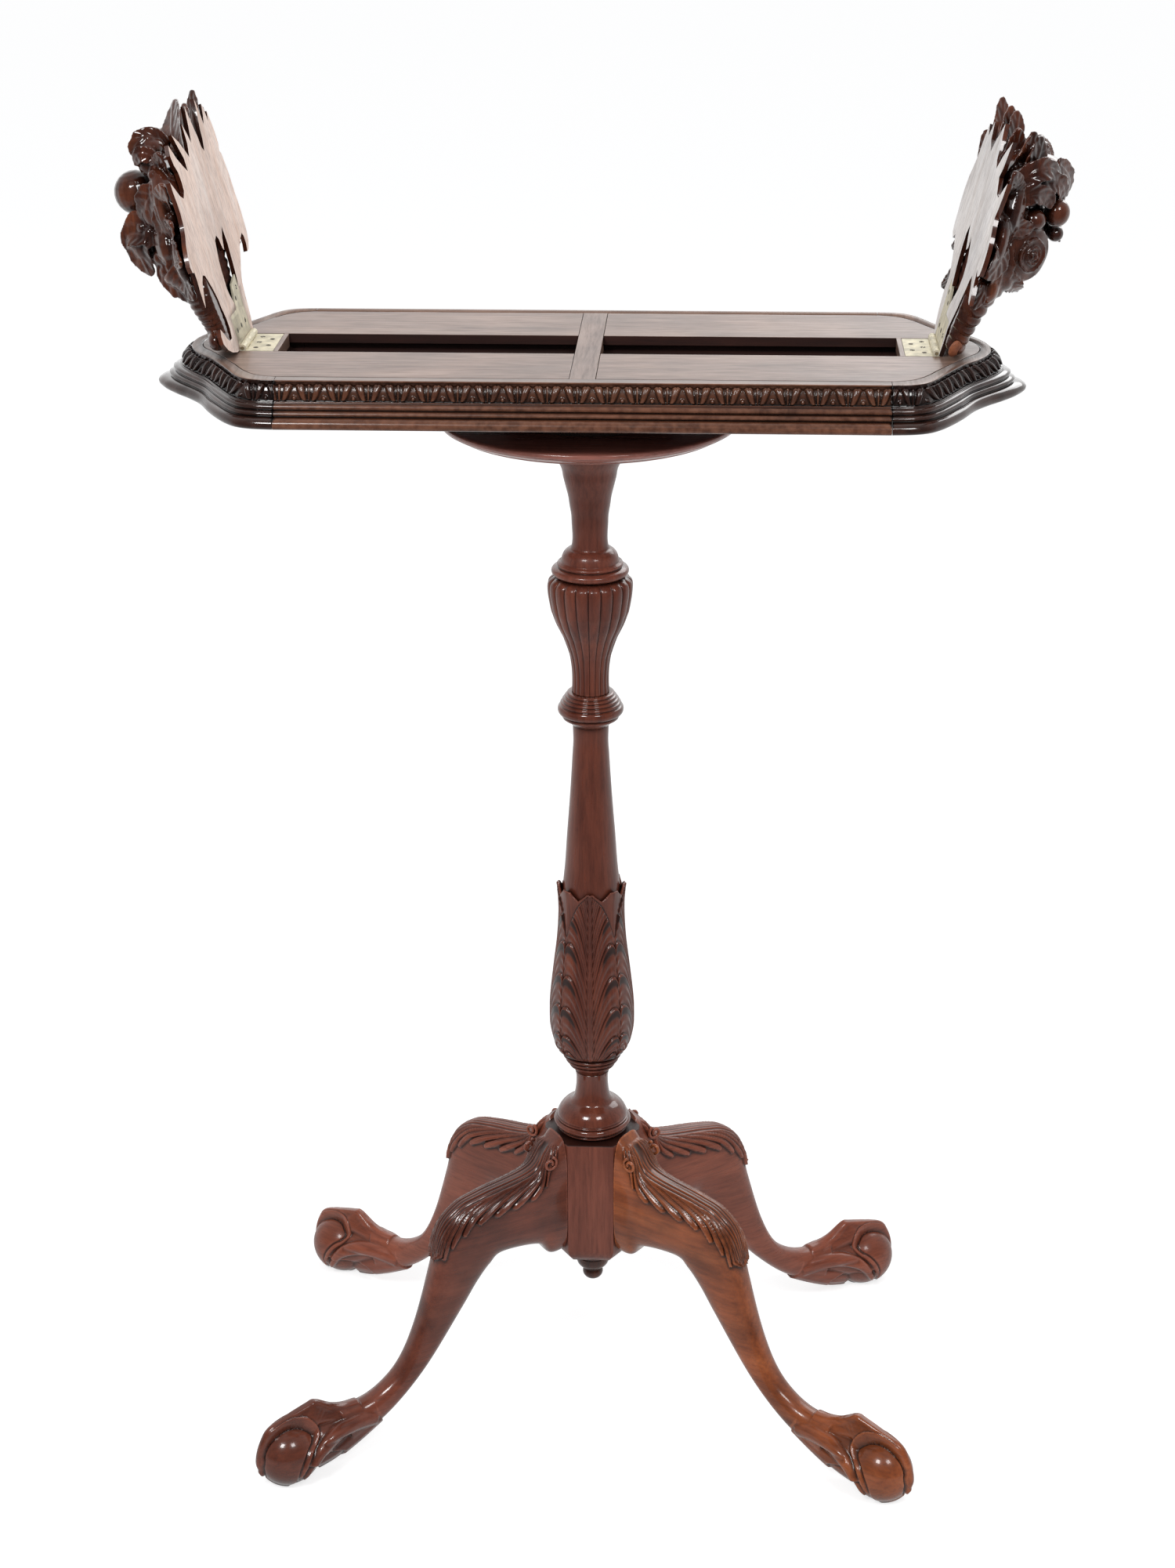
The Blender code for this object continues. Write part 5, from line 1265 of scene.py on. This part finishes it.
def leaf(spine, width, facing):
    """A carved leaf along a spine: pointed, cupped, with a midrib, slanting veins and a wavy edge."""
    thick, cup, veins, point = 2.4, 0.25, 4, 1.6
    path = rows_between(spine, 10)
    t = np.linspace(0, 1, len(path))
    tangent = unit(np.gradient(path, axis=0))
    side = unit(np.cross(tangent, np.array(facing, float)))
    up = np.cross(side, tangent)
    half = width * np.sin(math.pi * held(t * 0.93 + 0.07) ** 0.8) ** (1 / point) + 0.4
    v = np.linspace(-1, 1, 25)
    scallop = 1 - 0.10 * (0.5 - 0.5 * np.cos(2 * math.pi * veins * t))
    across = (half * scallop)[:, None] * v[None, :]
    vein = np.cos(2 * math.pi * (veins * 1.5 * t[:, None] - 1.2 * np.abs(v)[None, :]))
    rise = cup * np.abs(across) ** 1.6 / max(width, 1) ** 0.6
    rise = rise + 0.35 * vein * smooth_step(np.abs(v), 0.1, 0.3) + 0.8 * held(1 - (v / 0.13) ** 2)
    thickness = thick * (1 - 0.45 * v**2)
    middle = path[:, None] + side[:, None] * across[..., None]
    top = middle + up[:, None] * (rise + thickness / 2)[..., None]
    low = middle + up[:, None] * (rise - thickness / 2)[..., None]
    return grid_shape(np.concatenate([top, low[:, ::-1]], 1))


def blossom(centre, radius, facing, rings=((0.22, 3), (0.45, 4), (0.72, 5), (1.0, 5))):
    """A rose: a dome whose petals' rims stand up ring by ring; each ring has its reach and petals."""
    dome = 0.6
    phi = circle(120)
    r, a = np.meshgrid(np.linspace(0, 1.12, 60), phi, indexing="ij")
    height = dome * radius * np.sqrt(np.clip(1.25 - r**2, 0, None))
    lower = np.zeros_like(r)
    done = np.zeros(r.shape, bool)
    for k, (reach, petals) in enumerate(rings):
        edge = reach * (1 + 0.10 * np.abs(np.cos(petals * a / 2 + k * 1.3)))
        t = np.clip((r - lower) / np.maximum(edge - lower, 1e-6), 0, None)
        here = (t <= 1) & ~done
        height = np.where(here, height + radius * 0.16 * t**2.2 - radius * 0.05, height)
        done |= here
        lower = edge
    points = polar(r * radius, a, height)
    base = polar(0.9 * radius, phi[None], -0.9 * radius * dome)
    verts, faces = grid_shape(np.concatenate([points[1:], base], 0))
    return verts @ frame_of(facing).T + np.array(centre, float), faces


def horn(points, radii, ribs, depth, slant, flat=1.0):
    """A horn with ribs round it; slant turns the ribs into a twist, and flat thins it out of the board."""
    path = rows_between([(*p, r) for p, r in zip(points, radii)], 34)
    centre, radius = path[:, :3], path[:, 3]
    length = lengths_along(centre)
    angle = circle(40)
    phase = ribs * length[:, None] / length[-1] + slant * angle[None, :] / (2 * math.pi)
    r = radius[:, None] + depth * (np.abs(np.sin(math.pi * phase)) - 0.6)
    ring = rings_along(centre, angle, (0.2, 0.95, 0.1)) * np.array([flat, 1, 1])
    return grid_shape(centre[:, None] + ring * r[..., None])


# Outlines and slits of the flat backs, as (rear, up)
LEFT_OUTLINE = [
    (28.3, 1.4), (31.8, 7.6), (33.5, 14.0), (34.5, 22.0), (37.0, 29.8), (43.7, 36.1), (52.8, 42.0),
    (60.0, 48.0), (68.7, 51.5), (76.5, 53.4), (79.8, 50.5), (80.5, 45.5), (77.5, 41.0), (83.5, 41.5),
    (89.8, 45.8), (93.0, 52.2), (93.5, 60.9), (93.7, 67.3), (92.0, 75.8), (91.5, 82.7), (90.5, 90.6),
    (88.5, 97.6), (86.6, 103.7), (83.0, 106.0), (86.4, 110.5), (86.0, 118.2), (84.5, 123.5),
    (80.5, 132.1), (76.5, 126.2), (74.0, 134.6), (71.0, 138.2), (67.0, 131.6), (61.5, 126.5),
    (60.0, 133.3), (57.5, 140.0), (54.9, 144.2), (52.6, 135.7), (47.4, 126.4), (46.0, 119.8),
    (41.4, 113.0), (36.5, 116.8), (34.7, 123.3), (31.1, 130.1), (27.6, 136.2), (24.0, 144.4),
    (20.8, 138.0), (18.4, 132.2), (13.1, 123.1), (8.8, 129.6), (2.8, 136.6), (2.5, 130.1), (2.2, 124.6),
    (-3.2, 117.2), (-9.7, 122.6), (-19.2, 129.5), (-31.5, 135.7), (-23.9, 126.1), (-17.7, 118.9),
    (-17.8, 111.1), (-26.6, 116.0), (-36.7, 122.4), (-47.2, 132.2), (-50.4, 126.3), (-48.1, 120.3),
    (-43.0, 114.9), (-41.7, 108.9), (-42.4, 103.7), (-48.9, 100.2), (-56.0, 103.0), (-62.0, 107.9),
    (-70.0, 113.7), (-70.3, 107.7), (-68.6, 101.5), (-67.9, 94.3), (-69.5, 87.5), (-72.9, 82.3),
    (-78.2, 77.5), (-82.1, 71.2), (-84.3, 65.6), (-82.4, 61.8), (-78.2, 61.0), (-77.3, 55.3),
    (-78.2, 49.9), (-77.9, 43.0), (-76.8, 39.0), (-71.3, 46.1), (-66.0, 52.4), (-60.0, 55.4),
    (-54.8, 54.0), (-49.6, 48.7), (-44.4, 42.4), (-40.1, 35.7), (-37.8, 29.0), (-34.1, 22.5),
    (-32.8, 15.5), (-35.1, 10.0), (-43.0, 10.2), (-48.4, 13.6), (-53.1, 18.1), (-57.6, 21.0),
    (-60.6, 17.1), (-60.2, 12.3), (-53.8, 7.4), (-44.0, 3.2), (-31.3, 0.2), (-19.6, -0.3), (-8.8, -0.3),
    (8.0, -0.3), (22.0, -0.3),
]
LEFT_SLIT = [
    (26.4, 67.9), (27.4, 62.2), (28.6, 56.5), (27.9, 50.8), (27.2, 44.8), (26.1, 38.7), (25.0, 33.9),
    (23.0, 30.6), (21.0, 26.6), (18.6, 23.2), (12.0, 21.0), (5.1, 20.3), (0.5, 22.4), (-3.7, 26.8),
    (-7.2, 31.4), (-9.2, 35.8), (-9.1, 40.5), (-9.0, 46.7), (-7.9, 52.9), (-4.7, 59.4), (-2.1, 64.8),
    (4.3, 66.6), (8.9, 63.4), (11.4, 57.3), (14.4, 55.2), (19.0, 61.9),
]
RIGHT_OUTLINE = [
    (29.0, 1.4), (35.0, 7.6), (38.6, 14.1), (40.6, 20.9), (41.1, 27.3), (38.1, 32.6), (37.4, 37.5),
    (42.9, 42.7), (49.6, 48.1), (57.2, 52.2), (66.7, 57.3), (74.5, 53.4), (83.2, 55.7), (85.5, 61.1),
    (86.4, 67.8), (87.4, 76.2), (86.8, 83.3), (82.8, 92.0), (76.1, 99.3), (71.3, 105.4), (68.2, 110.3),
    (66.8, 115.3), (64.3, 121.3), (58.2, 129.6), (48.6, 123.6), (38.4, 134.5), (31.6, 124.3),
    (18.1, 119.3), (8.5, 128.4), (-0.7, 134.0), (-9.3, 141.0), (-14.3, 134.0), (-17.4, 130.1),
    (-20.0, 120.9), (-28.0, 117.0), (-40.8, 126.8), (-49.9, 132.1), (-63.9, 139.2), (-59.9, 130.4),
    (-56.8, 122.8), (-50.4, 116.1), (-56.5, 112.0), (-62.2, 108.3), (-70.6, 107.6), (-77.8, 111.6),
    (-84.3, 116.0), (-91.6, 119.9), (-89.7, 111.4), (-86.0, 103.9), (-82.1, 98.3), (-83.5, 94.4),
    (-87.6, 90.1), (-90.8, 85.9), (-92.6, 80.2), (-93.0, 74.3), (-92.4, 69.3), (-89.6, 64.8),
    (-81.5, 62.4), (-74.9, 65.9), (-77.9, 59.6), (-82.0, 53.1), (-84.7, 45.9), (-77.6, 46.6),
    (-69.4, 53.2), (-62.2, 58.8), (-56.8, 54.6), (-51.7, 47.4), (-46.0, 40.8), (-40.9, 33.4),
    (-33.3, 25.0), (-26.7, 17.4), (-26.5, 9.7), (-24.0, -0.3), (-8.0, -0.3), (8.0, -0.3), (22.0, -0.3),
]
RIGHT_SLIT = [
    (10.9, 75.0), (5.9, 69.6), (-2.7, 61.9), (-9.8, 64.6), (-8.7, 71.9), (-17.0, 65.9), (-23.9, 58.7),
    (-24.9, 49.9), (-19.9, 40.8), (-10.5, 33.0), (-2.4, 26.8), (-1.0, 20.9), (5.2, 23.1), (7.3, 28.7),
    (10.6, 35.4), (14.1, 43.3), (16.8, 50.6), (17.8, 59.5), (16.7, 68.4),
]
LEAF_ROOM = [(-22.3, -0.3), (22.3, -0.3), (22.3, 38.3), (6.6, 35.3), (-2.3, 20.8), (-22.3, 20.8)]

# Egg-shaped forms: the middle, then one radius or three
LEFT_EGGS = [
    (12, -16, 97, 12, 44, 32), (15, 30, 95, 14, 45, 33), (17, -14, 74, 15, 42, 21),
    (9, -48, 66, 7, 22, 18), (12, 30, 62, 10, 32, 18), (34, -20, 107, 13.2, 14, 13.5),
    (32, -23, 99, 9, 9, 9.5), (38, 30, 100, 13, 15, 13), (36, 20, 72, 12, 15, 12),
    (28, 55, 80, 12, 14, 13), (22, 62, 105, 10, 12, 12), (17, -29, 122, 8.5, 9, 8.5),
    (19, 18, 126, 11, 15, 10), (14, -28, 131, 7, 9, 6), (14, -45, 117, 3.9), (18, -44, 109, 3.2),
    (11, -47, 109, 3.4), (24, -40, 110, 2.8), (21, -36, 95, 9.5, 10, 12), (34, -27, 76, 11, 12, 11),
    (39, -29, 80, 7.5, 8, 6.5), (36, -29, 90, 3.4), (29, -38, 84, 3.6), (33, -36, 88, 2.7),
    (26, -42, 69, 4.4), (24, -42, 60, 5), (18, -48, 66, 4.2), (8, -59, 78, 5), (10, -56, 70, 4),
    (9, -56, 90, 4.5, 5, 6), (22, -38, 49, 6, 7, 5.5), (14, -46, 54, 7, 8, 9), (20, -20, 52, 9, 12, 8),
    (18, 25, 52, 9, 12, 8), (6.5, -45, 13, 5.8, 10, 6.5),
]
RIGHT_EGGS = [
    (12, -20, 97, 13, 44, 32), (14, 30, 95, 13, 44, 33), (18, -12, 78, 15, 44, 20),
    (9, -56, 80, 7, 20, 18), (42, -29, 101, 8, 8.5, 8.5), (32, -2, 114, 15, 20, 15),
    (34, 40, 96, 13, 14, 13), (36, -8, 88, 11, 14, 11), (36, 25, 72, 12, 14, 12),
    (26, 58, 80, 12, 14, 13), (16, 58, 108, 10, 14, 12), (8, -60, 90, 6.5, 7, 8),
    (17, -43, 117, 9, 9, 10), (28, -33, 119, 9, 10, 11), (38, -18, 114, 8, 12, 10),
    (28, -42, 96, 7.5, 8, 6.5), (10, -52, 104, 7, 8, 8), (22, -30, 56, 9, 12, 8),
    (20, 25, 54, 10, 14, 9), (26, -43, 57, 4), (13, -53, 52, 6, 8, 9), (46, -22, 88, 5, 6, 5),
    (7.5, -28, 10, 6, 12, 6.5),
]

# Leaves: the spine, the half width and the facing direction
LEFT_LEAVES = [
    ([(6, -4, 118), (7, 6, 132), (5, 26, 149)], 12, (0.5, -0.85, 0)),
    ([(5, 30, 112), (7, 40, 128), (6, 52, 143)], 8, (0.5, -0.85, 0)),
    ([(5, 50, 105), (6, 66, 128), (5, 80, 147)], 8, (0.5, -0.85, 0)),
    ([(5, 66, 100), (6, 80, 118), (5, 90, 135)], 8, (0.5, -0.85, 0)),
    ([(8, 70, 90), (8, 86, 104), (5, 92, 118)], 8, (0.9, 0.2, 0)),
    ([(6, -30, 106), (9, -40, 118), (6, -50, 130)], 8, (0.4, -0.85, 0.2)),
    ([(6, -44, 96), (9, -58, 103), (5, -68, 114)], 8, (0.4, -0.85, 0.2)),
    ([(6, -44, 84), (9, -62, 86), (5, -76, 92)], 8, (0.4, -0.85, 0.2)),
    ([(6, -46, 76), (9, -64, 72), (5, -82, 68)], 8, (0.4, -0.85, 0)),
    ([(8, -48, 62), (10, -60, 54), (6, -70, 44)], 8, (0.5, -0.8, -0.2)),
    ([(6, -22, 128), (14, -31, 137), (22, -33, 134), (25, -31, 127)], 7, (0.1, -0.9, 0.5)),
    ([(12, -38, 126), (20, -38, 130), (26, -32, 124)], 5, (0.2, -0.9, 0.3)),
    ([(14, -48, 108), (23, -44, 101), (29, -36, 88)], 10, (0.5, -0.8, 0.1)),
    ([(10, -52, 100), (15, -52, 90), (19, -47, 78)], 8, (0.5, -0.85, 0)),
    ([(24, -38, 92), (38, -34, 80), (36, -34, 58)], 13, (0.6, -0.75, 0)),
    ([(30, -40, 82), (42, -32, 84), (49, -24, 78)], 7, (0.3, -0.75, 0.5)),
    ([(26, -42, 70), (22, -47, 56), (15, -50, 47), (6, -52, 37)], 9, (0.55, -0.8, -0.2)),
    ([(12, -52, 74), (15, -54, 64), (13, -54, 54)], 7, (0.5, -0.85, 0)),
    ([(10, 60, 90), (14, 78, 80), (6, 90, 66)], 10, (0.9, 0.4, 0)),
    ([(10, 60, 66), (12, 72, 56), (5, 86, 46)], 8, (0.9, 0.3, -0.2)),
]
RIGHT_LEAVES = [
    ([(5, 40, 112), (6, 54, 130), (4, 67, 146)], 7, (0.4, -0.9, 0)),
    ([(5, 14, 114), (7, 22, 130), (6, 31, 147)], 7, (0.4, -0.9, 0)),
    ([(8, 4, 116), (10, 14, 132), (9, 22, 146)], 8, (0.5, -0.85, 0)),
    ([(5, -12, 112), (8, -18, 126), (7, -20, 142)], 8, (0.4, -0.9, 0)),
    ([(8, -34, 112), (13, -38, 130), (14, -38, 145)], 8, (0.6, -0.75, 0)),
    ([(14, -40, 112), (19, -38, 128), (20, -30, 142)], 9, (0.6, -0.75, 0.1)),
    ([(5, 70, 92), (6, 84, 106), (4, 94, 121)], 8, (0.4, -0.9, 0)),
    ([(6, 60, 66), (6, 72, 56), (4, 82, 45)], 7, (0.4, -0.9, 0)),
    ([(6, 56, 44), (6, 70, 32), (4, 80, 20)], 6, (0.4, -0.9, 0)),
    ([(6, -50, 106), (9, -60, 114), (5, -70, 124)], 7, (0.4, -0.85, 0.2)),
    ([(8, -52, 112), (20, -50, 124), (30, -40, 126), (38, -28, 120)], 7, (0.3, -0.85, 0.4)),
    ([(12, -54, 104), (22, -52, 112), (32, -42, 110), (36, -38, 104)], 6, (0.2, -0.95, 0.1)),
    ([(26, -44, 120), (38, -34, 118), (44, -24, 108)], 6, (0.4, -0.85, 0.3)),
    ([(34, -26, 128), (44, -14, 120), (48, -4, 108)], 7, (0.5, -0.7, 0.4)),
    ([(8, -58, 100), (16, -56, 92), (28, -48, 92)], 7, (0.3, -0.9, -0.1)),
    ([(6, -58, 100), (10, -62, 92), (9, -62, 82)], 6, (0.6, -0.8, 0)),
    ([(6, -62, 84), (10, -74, 74), (4, -88, 64)], 9, (0.6, -0.8, 0)),
    ([(8, -58, 78), (15, -58, 66), (17, -54, 54)], 10, (0.6, -0.8, -0.1)),
    ([(20, -50, 62), (28, -44, 56), (32, -34, 52)], 6, (0.3, -0.8, -0.5)),
    ([(42, -26, 92), (48, -16, 88), (51, -6, 84)], 6, (0.4, -0.7, 0.4)),
    ([(6, -54, 60), (8, -62, 52), (5, -66, 40)], 6, (0.6, -0.8, 0)),
    ([(10, 60, 90), (14, 76, 80), (6, 86, 66)], 10, (0.9, 0.4, 0)),
    ([(10, 58, 66), (12, 68, 56), (5, 76, 48)], 8, (0.9, 0.3, -0.2)),
]

# Roses: the middle, the radius, the facing direction, and the rings where they differ
LEFT_ROSES = [((22, 45, 60), 13, (0.9, 0.1, -0.2))]
RIGHT_ROSES = [
    ((27, -41, 76), 16, (0.62, -0.78, 0.05), ((0.15, 3), (0.32, 3), (0.60, 4), (1.0, 5))),
    ((26, 50, 60), 13, (0.9, 0.2, -0.2)),
    ((28, 16, 124), 12, (0.75, -0.45, 0.5), ((0.12, 9), (0.3, 11), (0.5, 13), (0.75, 15), (1.0, 15))),
]

# Horns: the path and its radii, the ribs, their depth and slant, and how flat the horn is
LEFT_HORNS = [(
    [(6, -40, 8), (6, -42, 22), (7, -46, 36), (9, -47, 50), (16, -44, 62)],
    (5.5, 6.5, 8.5, 10, 13), 14, 1.1, 0.3,
), (
    [(7.5, 8, 4), (8, 12, 24), (8.5, 13, 44), (10, 12, 64), (14, 12, 76)],
    (16, 23, 30, 30, 24), 15, 5.0, 0.3, 0.17,
)]
RIGHT_HORNS = [(
    [(6, -32, 8), (7, -36, 22), (8, -43, 38), (11, -45, 52), (19, -42, 66)],
    (5.5, 7, 9, 11, 13), 8, 1.4, 1.0,
), (
    [(7.5, 6, 4), (8, 8, 24), (8.5, 8, 44), (10, 6, 64), (14, 6, 78)],
    (16, 24, 32, 32, 26), 13, 5.0, 1.0, 0.17,
)]


def carving_shapes(eggs, roses, leaves, horns, core):
    shapes = [blob(row[:3], row[3:]) for row in eggs]
    for make, rows in ((blossom, roses), (leaf, leaves), (horn, horns)):
        shapes += [make(*row) for row in rows]
    return shapes + [blob(*core)]


def board_solid(name, outline, low, high, side):
    """A flat outline (rear, up) given thickness from low to high out of the back."""
    curve = bpy.data.curves.new(name, "CURVE")
    curve.dimensions = "2D"
    curve.fill_mode = "BOTH"
    curve.extrude = (high - low) / 2 / MM
    spline = curve.splines.new("POLY")
    spline.points.add(len(outline) - 1)
    for point, (back, up) in zip(spline.points, outline):
        point.co = (back / MM, up / MM, 0, 1)
    spline.use_cyclic_u = True
    mesh = baked(placed(name, curve))
    co = coordinates(mesh) * MM
    flat = np.stack([co[:, 2] + (high + low) / 2, co[:, 0], co[:, 1]], 1)
    mesh.vertices.foreach_set("co", on_board(flat, side).ravel())
    return faces_outward(mesh, 0.00002)


def cut(mesh, cutters):
    holder = placed(mesh.name, mesh)
    others = [placed(cutter.name, cutter) for cutter in cutters]
    for other in others:
        change = holder.modifiers.new("cut", "BOOLEAN")
        change.operation = "DIFFERENCE"
        change.object = other
    made = baked(holder)
    for other in others:
        bpy.data.objects.remove(other)
    return made


def trimmed(mesh, side):
    """Carving stays behind the flat back, and above the top's boards."""
    co = coordinates(mesh)
    lack = np.maximum(0.0006 - off_board(co, side)[0], 0)
    co[:, 0] += side * lack * math.cos(LEAN)
    co[:, 2] -= lack * math.sin(LEAN)
    co[:, 2] = np.maximum(co[:, 2], TOP_HIGH + 0.0004)
    mesh.vertices.foreach_set("co", co.ravel())
    mesh.update()


def seen_through_slit(mesh, side):
    """1 for the faces of the carving that show through the board's slit, 0 for the others."""
    facing, middle = np.empty((2, len(mesh.polygons) * 3))
    mesh.polygons.foreach_get("normal", facing)
    mesh.polygons.foreach_get("center", middle)
    middle = middle.reshape(-1, 3)
    out, up = off_board(middle, side)
    near = (np.abs(middle[:, 1] - 0.004) < 0.034) & (up > 0.002) & (up < 0.074) & (out < 0.022 - FACE_OUT)
    return (near & (facing.reshape(-1, 3) @ towards_books(side) > 0)).astype(np.int32)


def screw_head(middle, facing, turn):
    """A low domed head with a slot across it, at the slot's angle."""
    radius, slot_half, slot_depth = 0.0017, 0.00032, 0.0004
    rho = np.linspace(0.0001, radius, 12)[:, None]
    phi = circle(40)[None, :]
    height = 0.00022 * half_round(rho / 0.00172)
    height = np.where(np.abs(rho * np.sin(phi)) < slot_half, -slot_depth, height)
    height[-1] = -0.0003
    flat = polar(rho, phi + turn, height)
    closing = flat[-1:] * np.array([0.8, 0.8, 1]) - np.array([0, 0, 0.0002])
    verts, faces = grid_shape(np.concatenate([flat, closing], 0))
    return verts @ frame_of(facing).T + np.array(middle), faces


def make_screws():
    turns = (0.4, 1.3, 2.2, 0.9, 2.8)
    slide_places = ((0.0070, -0.014), (0.0070, 0), (0.0070, 0.014), (0.0140, -0.008), (0.0140, 0.008))
    leaf_places = ((-14, 10), (0, 10), (14, 10), (6, 26), (16, 31))
    for side, name in ((-1, "left"), (1, "right")):
        on_slide = [
            screw_head((side * (HINGE_X - x), y, TOP_HIGH + 0.00003), (0, 0, 1), turn)
            for (x, y), turn in zip(slide_places, turns)
        ]
        on_leaf = [
            screw_head(on_board((-0.03, back, up), side), towards_books(side), turn)
            for (back, up), turn in zip(leaf_places, turns)
        ]
        screws = (("_slide_screws", "_slide", on_slide), ("_leaf_screws", "_bookend", on_leaf))
        for part, body, shapes in screws:
            mesh = mesh_of(name + part, joined(shapes))
            piece(name + part, mesh, DARK_STEEL, name + body)


def make_bookends():
    for side, name, outline, slit, bare, masses in (
        (-1, "left_bookend", LEFT_OUTLINE, LEFT_SLIT, BARE_PINK,
         (LEFT_EGGS, LEFT_ROSES, LEFT_LEAVES, LEFT_HORNS, ((12, 11, 34), (7, 19, 34)))),
        (1, "right_bookend", RIGHT_OUTLINE, RIGHT_SLIT, BARE_WHITE,
         (RIGHT_EGGS, RIGHT_ROSES, RIGHT_LEAVES, RIGHT_HORNS, ((12, 6, 34), (7, 20, 34)))),
    ):
        stands_for = (name + "_carving",)
        board = board_solid(name + "_back", outline, 0, BOARD, side)
        slit_tool = board_solid(name + "_slit", slit, -4, 12, side)
        room_tool = board_solid(name + "_room", LEAF_ROOM, -4, 1.5, side)
        mesh = cut(board, [slit_tool, room_tool])
        piece(name + "_back", mesh, bare, name, stands_for, 30)
        mesh.materials.append(CARVED)
        store_cavity(mesh, np.full(len(mesh.vertices), 0.55))
        for polygon in mesh.polygons:
            polygon.material_index = int(np.dot(polygon.normal, towards_books(side)) < 0.8)
        shapes = [(on_board(v, side), f) for v, f in carving_shapes(*masses)]
        mesh = fused(name + "_fruit", shapes, 0.00075, 1)
        trimmed(mesh, side)
        set_cavity(mesh, 22, 0.0012)
        piece(name + "_fruit", mesh, CARVED, name, stands_for)
        mesh.materials.append(SLIT_DARK)
        mesh.polygons.foreach_set("material_index", seen_through_slit(mesh, side))
    verts, faces = blob((6.6, -38, 9.8), (5.2, 2.4, 6.2), frame_of((0.2, -0.2, 1)))
    mesh = mesh_of("right_bookend_raw_end", (on_board(verts, 1), faces))
    piece("right_bookend_raw_end", mesh, RAW_END, "right_bookend")


make_vase()
make_ring_collar()
make_baluster()
make_foot_and_disc()
make_mouldings()
make_boards()
make_legs()
make_bookends()
make_screws()
make_block()
dress(("bearing_block",), DARK_ALONG)
dress(("centre_band",), TOP_ACROSS)
dress([n for n in NODES if n.endswith("_strip")], TOP_ACROSS)
# The parts under the top take the near-black inner wood, painted shade.
dress([n for n in NODES if n.endswith(("_runner", "end_block", "slide_block"))], INNER)
dress(("under_board",), INNER)
dress([n for n in NODES if n.endswith("_leaf")], CREAM_BRASS)
dress([n for n in NODES if n.endswith("_pin")], BRASS)
dress([n for n in NODES if n.startswith("pivot_")], STEEL)
